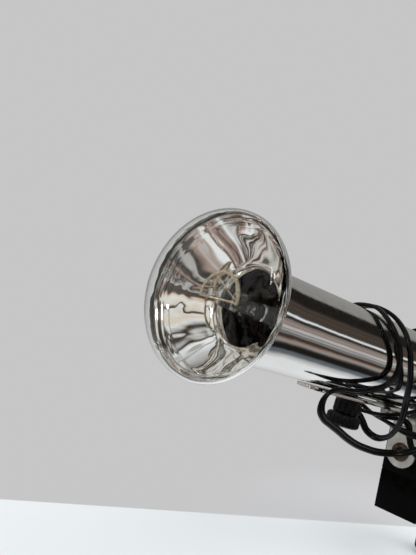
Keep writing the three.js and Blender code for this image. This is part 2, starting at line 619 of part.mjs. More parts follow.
/** The cord grip screwed on the rod behind the cap: a round body that tapers to the cord. */
add(lightLine, 'cap_nut_outside', rodNutAt(rearCapEnd + gap), 'zinc');
add(lightLine, 'cord_grip', turned(alongAll([
  [gripFrom, rod.radius + gap], [gripFrom, grip.radius], [gripFrom + grip.body, grip.radius], [gripFrom + grip.body + 1.5, grip.radius - 2],
  [gripEnd, grip.tip], [gripEnd, grip.bore], [rod.rear + gap, grip.bore], [rod.rear + gap, rod.radius + gap], [gripFrom, rod.radius + gap],
]), 16), 'blackPlastic');

// Bulb

/** The glass outline from the clear front, round the widest ring and down the silvered flare to the neck. */
function glassOutline(inset) {
  const points = [];
  const radius = bulb.radius - inset;
  const dome = bulb.dome - inset;
  const domeSteps = 6;
  for (let i = 0; i <= domeSteps; i += 1) {
    const angle = (i * Math.PI) / 2 / domeSteps;
    points.push([bulb.equator - dome * Math.cos(angle), radius * Math.sin(angle)]);
  }
  const flare = [
    [-188, 45.8], [-184.5, 43], [-179.5, 38.2], [-174, 32.4], [-169.5, 27.4], [-166, 23.8], [-160, 21], [-150, 18.8],
    [-138, 17.4], [-126, 16], [-116, 13.8], [-111.8, 12.35], [-108.5, 12.3],
  ];
  for (const [s, r] of flare) points.push([s, r - inset]);
  return points;
}

add(lightLine, 'bulb_glass', turned(alongAll([...glassOutline(0), ...glassOutline(bulb.wall).reverse()]), 28), 'glass');

/** The silvering on the inside of the flare, from just behind the widest ring to the neck. */
function mirrorShell() {
  const outer = glassOutline(bulb.wall + gap).filter(([s]) => s > bulb.equator + 1 && s < -130);
  const inner = outer.map(([s, r]) => [s, r - bulb.mirrorWall]).reverse();
  return turned(alongAll([...outer, ...inner, outer[0]]), 28);
}
add(lightLine, 'bulb_mirror', mirrorShell(), 'mirror');

/** The bulb's screw cap, with its thread drawn as rings. */
function bulbCapShell() {
  const outer = [[bulbCap.front, bulbCap.outer]];
  const pitch = (bulbCap.rear - bulbCap.front - 5) / bulbCap.threads;
  for (let i = 0; i < bulbCap.threads; i += 1) {
    const s = bulbCap.front + 4 + i * pitch;
    outer.push([s, bulbCap.outer], [s + pitch / 2, bulbCap.outer - bulbCap.threadDepth]);
  }
  outer.push([bulbCap.rear - 0.5, bulbCap.outer - 0.2], [bulbCap.rear, bulbCap.outer - 0.9]);
  const inner = outer.map(([s, r]) => [s, r - bulbCap.wall]).reverse();
  inner[0] = [bulbCap.rear, bulbCap.outer - 0.9 - bulbCap.wall];
  return turned(alongAll([...outer, ...inner, outer[0]]), 16);
}
add(lightLine, 'bulb_cap', bulbCapShell(), 'nickel');
add(lightLine, 'cap_insulator', turned(alongAll([
  [bulbCap.rear + gap, 6], [bulbCap.rear + gap, bulbCap.outer - 1.2], [bulbContact.at - 2, bulbContact.radius + 1.5], [bulbContact.at - 2, 3], [bulbCap.rear + gap, 6],
]), 20), 'blackGloss');
add(lightLine, 'cap_contact', turned(alongAll([
  [bulbContact.at - 2 + gap, 0], [bulbContact.at - 2 + gap, bulbContact.radius], [bulbContact.at - 0.6, bulbContact.radius - 0.4], [bulbContact.at, 2], [bulbContact.at, 0],
]), 16), 'solder');

const stem = { foot: -109.2, neck: -147, tip: -171 };
add(lightLine, 'glass_stem', turned(alongAll([
  [stem.foot, 10.1], [stem.foot, 11.1], [stem.foot - 2, 10.4], [stem.foot - 9, 6.6], [stem.neck, 5], [stem.tip + 3, 3.6], [stem.tip, 2.4],
  [stem.tip, 0], [stem.neck - 1, 0], [stem.neck, 3.6], [stem.foot - 9, 5.4], [stem.foot, 10.1],
]), 18), 'glass');
const filament = { at: -187, radius: 13, wire: 0.55, lead: 0.45 };
const onArc = (angle, radius) => [radius * Math.sin(angle), radius * Math.cos(angle)];
const filamentEnd = THREE.MathUtils.degToRad(98);
const holdAt = [-filamentEnd, -filamentEnd / 3, filamentEnd / 3, filamentEnd]; // where the wires hold the filament
const supportLine = (angle) => toPoints([
  [along(stem.tip - gap), ...onArc(angle, 1.5)],
  [along(stem.tip - 6), ...onArc(angle, 4)],
  [along(filament.at), ...onArc(angle, filament.radius)],
]);
const filamentArc = [];
for (let i = 0; i <= 10; i += 1) {
  filamentArc.push([along(filament.at), ...onArc(filamentEnd * (1 - i / 5), filament.radius)]);
}
add(lightLine, 'filament', join(
  cordAlong(toPoints(filamentArc), 10, filament.wire, 6),
  ...holdAt.map((angle) => cordAlong(supportLine(angle), 4, filament.lead, 6)),
), 'tungsten');

// Cords
// Points are [along the tube, across, up from its centre line]
const entryFace = switchAt + cordEntry.reach + gap;

// From the cord grip round the near side of the tube and under the strap to the switch
const leadRoute = [
  [gripEnd + gap, 0, -0.4], [gripEnd + 7, 0, -0.4], [gripEnd + 15, -4, -0.5], [gripEnd + 19, -14, -0.9], [gripEnd + 15, -25, -1.6], [gripEnd + 5, -31, -3],
  [84, -32, -4.5], [70, -31.8, -6], [57, -30.8, -9.5], [46, -29.9, -14.8], [36, -27.2, -20.2], [26, -22.5, -24.5], [16, -17.5, -30],
  [7, -12.6, -33.8], [-2, -8.8, -35.8], [-10, -5.6, -36.6], [-18, -3.6, -36.8], [entryFace, -3.3, -36.8],
];

// From the switch under the strap, down beside the bracket and back across to the far side of the tube
const startRoute = [
  [entryFace, 3.3, -36.8], [-18, 3, -36.8], [-10, 1, -37], [-2, -2, -37.4], [6, -5.5, -37.6], [14, -9.6, -36.6], [22, -13.2, -35.4],
  [28.5, -15, -38.6], [31.5, -15.8, -46], [33, -19, -52], [34.5, -25.5, -54.5], [34.5, -29.5, -50], [30.5, -25.5, -45.6],
  [24, -19, -44.6], [21, -11, -42.6], [19, -3, -40.6], [16.5, 6, -38.8], [12, 15, -34.6],
];

// Two loose turns round the tube, with a slack loop hanging between them
const wrapRoute = [
  [12, 15, -34.6], [3, 23.5, -26.5], [-5, 29, -15.5], [-13, 31.6, -3], [-21, 30.6, 9.8], [-28, 24.4, 21], [-33.5, 13, 29.6],
  [-36.5, 3, 32], [-36.5, -6.5, 31.8], [-34.5, -15.8, 28.3], [-33.5, -25, 20.6], [-32, -31.2, 9.5], [-26.5, -32, 0],
  [-19.5, -30.8, -8.5], [-12, -27.8, -16.5], [-5, -25, -22.8], [0.5, -22.8, -29.5], [6, -19.8, -36.5], [11, -15.4, -43.5],
  [15.5, -9, -50], [16, -1, -53.5], [12, 6, -51], [7.5, 10, -44.5], [2, 16, -36.5], [-8, 24.6, -26.6], [-17, 30.2, -14.5],
  [-26, 32.2, -1], [-34, 29.8, 12.2], [-39.5, 22.5, 22.6], [-42, 12, 29.5], [-43, 1.5, 31.4], [-46.5, -8.5, 30.4], [-50, -17.5, 26.4],
  [-50, -24.9, 20.2], [-46.5, -29.6, 12], [-42, -31.5, 2], [-40, -30.6, -7.5], [-43.5, -27.8, -15.4], [-51, -25, -20],
];

// Forward in the corner between tube and strap, down over the strap's edge, and back in a long sag to the far side
const restRoute = [
  [-51, -25, -20], [-58, -22.4, -23], [-67, -19.6, -25.2], [-76, -17.8, -26.2], [-84, -16.6, -28.6], [-88, -15.6, -34.4],
  [-86.4, -14.8, -41], [-79, -14, -45.8], [-69, -13.2, -48.6], [-57, -12.4, -51.6], [-43, -11.6, -55.4], [-28, -11, -58.6],
  [-13, -11, -60.4], [2, -12, -61.2], [15, -16, -59.6], [22, -24, -55.4], [24, -33, -47.5], [24.5, -39, -36], [25.5, -41, -22], [28.5, -39.5, -8],
  [33, -35.5, 6], [38, -28.5, 18.5], [43, -18.5, 28], [48, -5, 33.2], [52, 8, 32.8], [55.5, 18.5, 29], [59, 26.6, 24.6],
];

/** The hank's line: oval loops that spiral in on the inner layer, climb along a run and spiral out on the outer one. */
function hankRoute() {
  const points = [];
  const perLoop = 24;
  const total = hank.loops * perLoop;
  const outer = hank.inner + (hank.loops / 2) * hank.step;
  const climbFrom = total / 2;
  for (let k = 0; k <= total; k += 1) {
    const radius = hank.inner + (Math.abs(k - total / 2) / perLoop) * hank.step;
    const at = k % perLoop;
    let s;
    let n;
    if (at <= 8) {
      const angle = Math.PI / 2 - (at / 8) * Math.PI;
      [s, n] = [hank.half + radius * Math.cos(angle), radius * Math.sin(angle)];
    } else if (at <= 12) {
      [s, n] = [hank.half * (1 - (at - 8) / 2), -radius];
    } else if (at <= 20) {
      const angle = -Math.PI / 2 - ((at - 12) / 8) * Math.PI;
      [s, n] = [-hank.half + radius * Math.cos(angle), radius * Math.sin(angle)];
    } else {
      [s, n] = [hank.half * ((at - 20) / 2 - 1), radius];
    }
    if (Math.abs(s) < hank.half) {
      const toWaist = 1 - (s / hank.half) ** 2;
      n -= Math.sign(n) * hank.pinch * toWaist;
    }
    const climb = THREE.MathUtils.clamp((k - climbFrom) / 4 + 0.5, 0, 1);
    points.push([hank.middle + s, hank.y + hank.layer * climb, n]);
  }
  return { points, outer };
}
const hankLine = hankRoute();
restRoute.push(hankLine.points[0]);

const plugBack = plug.face + plug.length;
const tailRoute = [
  hankLine.points.at(-1), [76, 37.6, 19.6], [84, 40, 14.5], [87.5, 43.5, 5.5],
  [83, 46.6, -2.5], [75, 48, -4.9], [plugBack + plug.relief + 7, plug.y, plug.n], [plugBack + plug.relief + gap, plug.y, plug.n],
];

/** Lines up two routes where one stretch ends and the next begins, with a gap between their faces. */
function meet(first, second) {
  const place = second[0].clone();
  const along = second[1].clone().sub(first.at(-2)).normalize();
  first.splice(-1, 1, place.clone().addScaledVector(along, -4), place.clone().addScaledVector(along, -gap / 2));
  second.splice(0, 1, place.clone().addScaledVector(along, gap / 2), place.clone().addScaledVector(along, 4));
}

const routes = {
  lamp_lead: toPoints(leadRoute),
  mains_cord_start: toPoints(startRoute),
  cord_wraps: toPoints(wrapRoute),
  mains_cord_rest: toPoints(restRoute),
  cord_hank: toPoints(hankLine.points),
  cord_tail: toPoints(tailRoute),
};
meet(routes.mains_cord_start, routes.cord_wraps);
meet(routes.cord_wraps, routes.mains_cord_rest);
meet(routes.mains_cord_rest, routes.cord_hank);
meet(routes.cord_hank, routes.cord_tail);
const stepsAlong = { lamp_lead: 24, mains_cord_start: 26, cord_wraps: 61, mains_cord_rest: 43, cord_hank: 72, cord_tail: 10 };
for (const [name, points] of Object.entries(routes)) {
  add(head, name, cordAlong(points, stepsAlong[name], cordRadius, name === 'cord_hank' ? 6 : 8), 'cord');
  const length = new THREE.CatmullRomCurve3(points, false, 'centripetal').getLength();
  console.log(`${name} ${length.toFixed(0)} mm long, least gap to itself ${leastGap(points).toFixed(2)} mm`);
}

/** The outline round a set of circles, each [across, up, radius], in turning order. */
function roundAbout(circles, extra) {
  const shape = new THREE.Shape();
  circles.forEach(([x, y, r], i) => {
    const [px, py, pr] = circles[(i + circles.length - 1) % circles.length];
    const [nx, ny, nr] = circles[(i + 1) % circles.length];
    const turn = (ax, ay, ar, bx, by, br) => {
      const [dx, dy] = [bx - ax, by - ay];
      return Math.atan2(dy, dx) - Math.PI / 2 + Math.asin((br - ar) / Math.hypot(dx, dy)) * -1;
    };
    const from = turn(px, py, pr, x, y, r);
    let to = turn(x, y, r, nx, ny, nr);
    while (to < from) to += 2 * Math.PI;
    const steps = Math.max(1, Math.round((to - from) / 0.33));
    for (let k = 0; k <= steps; k += 1) {
      const angle = from + ((to - from) * k) / steps;
      const [u, v] = [x + (r + extra) * Math.cos(angle), y + (r + extra) * Math.sin(angle)];
      if (i === 0 && k === 0) shape.moveTo(u, v);
      else shape.lineTo(u, v);
    }
  });
  shape.closePath();
  return shape;
}

/** The tie that holds the hank and the plug against the tube. */
function cordTie() {
  const waist = hankLine.outer - hank.pinch + cordRadius + 0.4;
  const circles = [
    [0, 0, tube.outer], [-strap.width / 2, -strapUnder, 0.3], [strap.width / 2, -strapUnder, 0.3],
    [hank.y + hank.layer, -waist + 1, 1], [plug.y + plug.thick / 2 - 1, plug.n - plug.width / 2 + 3, 1],
    [plug.y + plug.thick / 2 - 1, plug.n + plug.width / 2 - 3, 1], [hank.y + hank.layer, waist - 1, 1],
  ];
  const outline = roundAbout(circles, tie.clear + tie.thick);
  outline.holes.push(new THREE.Path(roundAbout(circles, tie.clear).getPoints().reverse()));
  return slab(outline, tie.at - tie.width / 2, tie.at + tie.width / 2).rotateX(Math.PI / 2).rotateZ(Math.PI / 2);
}
add(head, 'cord_tie', cordTie(), 'rubber');

/** The flat two-pin plug: a waisted body that narrows to the cord. */
function plugBody() {
  const [half, neck] = [plug.width / 2, plug.neckWidth / 2];
  const outline = new THREE.Shape();
  outline.moveTo(plug.face, -half + 2);
  outline.lineTo(plug.face + 2, -half);
  outline.lineTo(plug.face + 12, -half);
  outline.lineTo(plugBack - 6, -neck - 1);
  outline.lineTo(plugBack, -neck + 2);
  outline.lineTo(plugBack, neck - 2);
  outline.lineTo(plugBack - 6, neck + 1);
  outline.lineTo(plug.face + 12, half);
  outline.lineTo(plug.face + 2, half);
  outline.lineTo(plug.face, half - 2);
  outline.closePath();
  const body = slab(outline, -plug.thick / 2, plug.thick / 2).rotateX(-Math.PI / 2);
  const relief = turned([
    [plugBack - 1, 0], [plugBack - 1, 4.4], [plugBack + plug.relief, 3.1], [plugBack + plug.relief, 0],
  ], 16);
  const sockets = [-1, 1].map((side) => ring(plug.face - 1, plug.face + 6, plugPin.radius, 0, 16).translate(0, 0, (side * plugPin.apart) / 2));
  return cut(join(body, relief), ...sockets).translate(0, plug.y, plug.n);
}
add(head, 'plug_body', plugBody(), 'blackPlastic');
['lower', 'upper'].forEach((name, i) => add(head, `plug_pin_${name}`, turned([
  [plug.face - plugPin.length, 0], [plug.face - plugPin.length, 1.2], [plug.face - plugPin.length + 1, plugPin.radius - gap],
  [plug.face + 5.5, plugPin.radius - gap], [plug.face + 5.5, 0],
], 16).translate(0, plug.y, plug.n + (i - 0.5) * plugPin.apart), 'nickel'));

export default lamp;
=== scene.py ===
"""The look of a chromed clamp spotlight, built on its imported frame."""
import json
import logging
import math
from collections.abc import Callable
from dataclasses import dataclass, field
from enum import Enum

import bpy
from mathutils import Matrix, Vector


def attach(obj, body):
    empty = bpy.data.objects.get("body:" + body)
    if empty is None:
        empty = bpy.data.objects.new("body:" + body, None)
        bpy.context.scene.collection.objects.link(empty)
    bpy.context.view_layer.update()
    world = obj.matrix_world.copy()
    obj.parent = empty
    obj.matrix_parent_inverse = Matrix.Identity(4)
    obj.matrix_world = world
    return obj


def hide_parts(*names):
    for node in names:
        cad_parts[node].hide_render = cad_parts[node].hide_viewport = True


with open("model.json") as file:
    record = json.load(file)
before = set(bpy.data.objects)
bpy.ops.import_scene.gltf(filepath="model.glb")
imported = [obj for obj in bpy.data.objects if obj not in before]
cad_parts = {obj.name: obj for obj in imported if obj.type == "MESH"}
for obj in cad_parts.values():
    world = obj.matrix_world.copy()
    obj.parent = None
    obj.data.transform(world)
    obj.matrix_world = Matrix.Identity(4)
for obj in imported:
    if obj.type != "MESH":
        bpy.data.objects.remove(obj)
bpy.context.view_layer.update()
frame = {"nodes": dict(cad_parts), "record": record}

MM = 0.001
WELD = 0.000002
log = logging.getLogger("spotlight")

Point = tuple[float, float, float]
Pair = tuple[float, float]
Profile = list[Pair]
Colour = tuple[float, float, float]
Piece = bpy.types.Object
Socket = bpy.types.NodeSocket

# Places, as in the solids: the swivel's axis, then the tube's own line with X rearwards
SWIVEL = Matrix.Translation((-0.072, 0.0035, -0.006))
CLAMP = Matrix.Translation((-0.072, 0.0, -0.006))
SCREW = Matrix.Translation((0.0, 0.0, -0.006))
TILT = math.radians(11.48)
PIVOT = Matrix.Translation((-0.0025, 0.0, 0.0282))
HEAD = SWIVEL @ PIVOT @ Matrix.Rotation(TILT, 4, "Y") @ Matrix.Translation((-0.0514, 0.0, 0.0338))
LEAN = Matrix.Translation((0.06, 0.0, 0.0)) @ Matrix.Rotation(math.radians(0.67), 4, "Y")
LIGHT = HEAD @ LEAN @ Matrix.Translation((-0.06, 0.0, 0.0))
ALONG_X = Matrix.Rotation(math.pi / 2, 4, "Y")
ALONG_Y = Matrix.Rotation(-math.pi / 2, 4, "X")
UPRIGHT = Matrix.Rotation(math.pi / 2, 4, "Z") @ Matrix.Rotation(math.pi / 2, 4, "X")

# Bores in millimetres: the hinge's eyes, and the holes for the switch and the strap's screw
EYE_BORE = 2.6
EYE_RADIUS = 4.5
SWITCH_HOLE = 5.3
SCREW_HOLE = 2.3


class Body(Enum):
    """The frame's bodies that a piece can ride on."""

    CLAMP = "clamp"
    FOOT = "foot"
    SCREW = "screw"
    BRACKET = "bracket"
    HEAD = "head"
    KNOB = "knob"


class Fit(Enum):
    """How another solid is fitted to a piece."""

    ADD = "UNION"
    CUT = "DIFFERENCE"


def screen(red: int, green: int, blue: int) -> Colour:
    """Turns a colour as seen on a screen, 0 to 255, into the linear values that a shader takes."""
    parts = (value / 255 for value in (red, green, blue))
    return tuple(p / 12.92 if p <= 0.04045 else ((p + 0.055) / 1.055) ** 2.4 for p in parts)


class Tone(Enum):
    """The tones of the room that polished metal shows."""

    WHITE = screen(246, 249, 251)
    CREAM = screen(240, 228, 208)
    SILVER = screen(200, 200, 198)
    GREY = screen(152, 150, 147)
    TAN = screen(176, 152, 142)
    BROWN = screen(80, 70, 62)
    SLATE = screen(104, 112, 120)
    DARK = screen(34, 31, 28)


class Nodes:
    """Adds shader nodes to one tree and wires them."""

    def __init__(self, tree: bpy.types.NodeTree) -> None:
        """Keeps the material's, world's or group's tree."""
        self.tree = tree

    def add(self, kind: str, settings: dict | None = None, **inputs: object) -> bpy.types.Node:
        """Adds a node, sets its options and fills or links its inputs.

        Args:
            kind: The node's type name.
            settings: Options of the node itself.
            inputs: Values or output sockets, by input name with _ for a space, or as n_0, n_1 by place.

        Returns:
            The node.
        """
        node = self.tree.nodes.new(kind)
        for name, value in (settings or {}).items():
            setattr(node, name, value)
        for name, value in inputs.items():
            place = int(name[2:]) if name.startswith("n_") else name.replace("_", " ")
            self.join(value, node.inputs[place])
        return node

    def join(self, value: object, socket: Socket) -> None:
        """Links an output to a socket, or sets the socket's own value.

        Args:
            value: An output socket, or a plain number, colour or vector.
            socket: The input that takes it.
        """
        if isinstance(value, Socket):
            self.tree.links.new(value, socket)
        elif isinstance(value, tuple) and socket.type == "RGBA":
            socket.default_value = (*value[:3], 1.0)
        else:
            socket.default_value = value

    def blend(self, factor: object, first: object, second: object) -> Socket:
        """Mixes two colours, by a factor that is 0 for the first and 1 for the second."""
        return self.add("ShaderNodeMix", {"data_type": "RGBA"}, n_0=factor, n_6=first, n_7=second).outputs[2]

    def maths(self, operation: str, first: object, *others: object) -> Socket:
        """Adds a sum, or a chain of the same one.

        Args:
            operation: The Math node's operation.
            first: A number or an output.
            others: What is added, multiplied and so on, one after the other.

        Returns:
            The result's output.
        """
        for second in others or (0.0,):
            first = self.add("ShaderNodeMath", {"operation": operation}, n_0=first, n_1=second).outputs[0]
        return first

    def vector(self, operation: str, **inputs: object) -> Socket:
        """Adds one sum with vectors, which gives a number for a dot product or a length."""
        node = self.add("ShaderNodeVectorMath", {"operation": operation}, **inputs)
        return node.outputs["Value" if operation in ("DOT_PRODUCT", "LENGTH") else "Vector"]

    def noise(self, where: Socket, scale: object, detail: float, rough: float = 0.5) -> Socket:
        """Adds a noise pattern by its scale per metre, its finer layers and how strong they are."""
        inputs = {"Vector": where, "Scale": scale, "Detail": detail, "Roughness": rough}
        return self.add("ShaderNodeTexNoise", None, **inputs).outputs["Fac"]

    def span(self, value: object, low: object, high: object, to_low: float = 0.0, to_high: float = 1.0) -> Socket:
        """Maps a value from one range to another, and holds it there."""
        inputs = {"n_0": value, "n_1": low, "n_2": high, "n_3": to_low, "n_4": to_high}
        return self.add("ShaderNodeMapRange", {"clamp": True}, **inputs).outputs[0]

    def ramp(self, factor: Socket, stops: list[tuple[float, Colour]]) -> Socket:
        """Adds a colour ramp.

        Args:
            factor: The output that reads it, from 0 to 1.
            stops: Each stop's place and colour.

        Returns:
            The colour's output.
        """
        node = self.add("ShaderNodeValToRGB", None, Fac=factor)
        bar = node.color_ramp.elements
        for stop, (place, colour) in zip(bar, (stops[0], stops[-1])):
            stop.position, stop.color = place, (*colour, 1.0)
        for place, colour in stops[1:-1]:
            bar.new(place).color = (*colour, 1.0)
        return node.outputs[0]


class Effect(Enum):
    """The effects that finishes share, each a node group: its name, its output and its inputs."""

    PATCHES = ("uneven_patches", "Mask", "Vector", "Scale", "Spread")
    RELIEF = ("fine_relief", "Normal", "Vector", "Scale", "Height")
    MARKS = ("rub_marks", "Mask", "Vector", "Scale", "Amount")
    DUST = ("settled_dust", "Mask", "Vector", "Scale", "Amount")

    def put(self, wiring: Nodes, where: Socket, scale: float, amount: float) -> Socket:
        """Places the effect in a material, and builds its group the first time.

        Args:
            wiring: The material's wiring.
            where: The place on the piece.
            scale: The effect's scale per metre.
            amount: Its spread, its height in metres or its strength.

        Returns:
            The effect's output.
        """
        name, output, *inputs = self.value
        tree = bpy.data.node_groups.get(name)
        if not tree:
            tree = bpy.data.node_groups.new(name, "ShaderNodeTree")
            for socket in (*inputs, output):
                kind = "Vector" if socket in ("Vector", "Normal") else "Float"
                way = "OUTPUT" if socket == output else "INPUT"
                tree.interface.new_socket(socket, in_out=way, socket_type=f"NodeSocket{kind}")
            inside = Nodes(tree)
            start, end = inside.add("NodeGroupInput"), inside.add("NodeGroupOutput")
            inside.join(self.draw(inside, *start.outputs[: len(inputs)]), end.inputs[0])
        values = dict(zip(inputs, (where, scale, amount)))
        return wiring.add("ShaderNodeGroup", {"node_tree": tree}, **values).outputs[0]

    def draw(self, wiring: Nodes, where: Socket, scale: Socket, amount: Socket) -> Socket:
        """Draws the effect in its group.

        Args:
            wiring: The group's wiring.
            where: The place on the piece.
            scale: The effect's scale per metre.
            amount: Its spread, height or strength.

        Returns:
            The mask or normal that the group puts out.
        """
        if self is Effect.PATCHES:
            low, high = wiring.maths("SUBTRACT", 0.5, amount), wiring.maths("ADD", 0.5, amount)
            return wiring.span(wiring.noise(where, scale, 5.0, 0.6), low, high)
        if self is Effect.RELIEF:
            height = wiring.noise(where, scale, 3.0)
            return wiring.add("ShaderNodeBump", None, Strength=1.0, Distance=amount, Height=height).outputs[0]
        if self is Effect.MARKS:
            one_way = wiring.vector("MULTIPLY", n_0=where, n_1=(1.0, 9.0, 9.0))
            return wiring.maths("MULTIPLY", wiring.span(wiring.noise(one_way, scale, 2.0), 0.6, 0.72), amount)
        facing = wiring.add("ShaderNodeNewGeometry").outputs["Normal"]
        upwards = wiring.add("ShaderNodeSeparateXYZ", None, Vector=facing).outputs[2]
        patchy = wiring.span(wiring.noise(where, scale, 6.0), 0.4, 0.75)
        return wiring.maths("MULTIPLY", wiring.span(upwards, 0.1, 1.0), patchy, amount)


@dataclass(frozen=True)
class Surface:
    """What every finish has: the record's slot, and a material that is built once."""

    slot: str

    def name(self) -> str:
        """Returns the material's name."""
        return f"{self.slot}_finish"

    def sockets(self, wiring: Nodes, where: Socket) -> dict[str, object]:
        """Draws the finish, which each kind of finish does in its own way."""
        raise NotImplementedError

    def material(self) -> bpy.types.Material:
        """Builds the material, once.

        Returns:
            The material.
        """
        name = self.name()
        if name in bpy.data.materials:
            return bpy.data.materials[name]
        material = bpy.data.materials.new(name)
        material.use_nodes = True
        wiring = Nodes(material.node_tree)
        shader = material.node_tree.nodes["Principled BSDF"]
        where = wiring.add("ShaderNodeTexCoord").outputs["Object"]
        for socket, value in self.sockets(wiring, where).items():
            wiring.join(value, shader.inputs[socket])
        return material


@dataclass(frozen=True)
class Finish(Surface):
    """One surface finish, with its wear.

    Attributes:
        colour: The clean colour.
        tone: The colour of its uneven patches.
        rough: The clean and the patchy roughness.
        patch: The patches' scale per metre and their spread.
        relief: The relief's scale per metre and its height in metres.
        marks: How strongly rub marks show.
        dust: How much dust lies on it.
        metallic: 1 for bare metal.
        shine: The shader's specular level, 0.5 for an ordinary surface.
        mark_scale: The rub marks' scale per metre.
        mark_rough: How much roughness a full mark adds.
        dust_scale: The dust's scale per metre.
        dust_rough: How much roughness full dust adds.
        dust_colour: The dust's colour.
    """

    colour: Colour
    tone: Colour
    rough: Pair
    patch: Pair
    relief: Pair
    marks: float
    dust: float
    metallic: float = 0.0
    shine: float = 0.5
    mark_scale: float = 180.0
    mark_rough: float = 0.25
    dust_scale: float = 220.0
    dust_rough: float = 0.6
    dust_colour: Colour = screen(150, 146, 138)

    def sockets(self, wiring: Nodes, where: Socket) -> dict[str, object]:
        """Draws the finish.

        Args:
            wiring: The material's wiring.
            where: The place on the piece.

        Returns:
            What each of the shader's sockets gets.
        """
        patches = Effect.PATCHES.put(wiring, where, *self.patch)
        colour = wiring.blend(patches, self.colour, self.tone)
        rough = wiring.span(patches, 0.0, 1.0, *self.rough)
        if self.marks:
            marks = Effect.MARKS.put(wiring, where, self.mark_scale, self.marks)
            rough = wiring.maths("ADD", rough, wiring.maths("MULTIPLY", marks, self.mark_rough))
        if self.dust:
            dust = Effect.DUST.put(wiring, where, self.dust_scale, self.dust)
            colour = wiring.blend(dust, colour, self.dust_colour)
            rough = wiring.maths("ADD", rough, wiring.maths("MULTIPLY", dust, self.dust_rough))
        normal = Effect.RELIEF.put(wiring, where, *self.relief)
        drawn = {"Base Color": colour, "Roughness": rough, "Normal": normal}
        return drawn | {"Metallic": self.metallic, "Specular IOR Level": self.shine}


@dataclass(frozen=True)
class ClearGlass(Surface):
    """Clear glass, blown or pressed.

    Attributes:
        title: The material's name.
        ior: The glass's index of refraction.
        clear: How much light it lets through.
        wave: The unevenness's scale per metre and its height in metres.
        smears: The smears' scale per metre and their spread.
        dullest: The roughness of a full smear.
        tint: The glass's colour.
    """

    slot: str = "glass"
    title: str = "glass_finish"
    ior: float = 1.25
    clear: float = 1.0
    wave: Pair = (35.0, 0.00012)
    smears: Pair = (90.0, 0.2)
    dullest: float = 0.03
    tint: Colour = (0.97, 0.98, 0.98)

    def name(self) -> str:
        """Returns the material's name."""
        return self.title

    def sockets(self, wiring: Nodes, where: Socket) -> dict[str, object]:
        """Draws the faint unevenness and smears of the glass.

        Args:
            wiring: The material's wiring.
            where: The place on the piece.

        Returns:
            What each of the shader's sockets gets.
        """
        smears = Effect.PATCHES.put(wiring, where, *self.smears)
        rough = wiring.span(smears, 0.0, 1.0, 0.0, self.dullest)
        drawn = {"Normal": Effect.RELIEF.put(wiring, where, *self.wave), "Roughness": rough}
        return drawn | {"Base Color": self.tint, "Transmission Weight": self.clear, "IOR": self.ior}


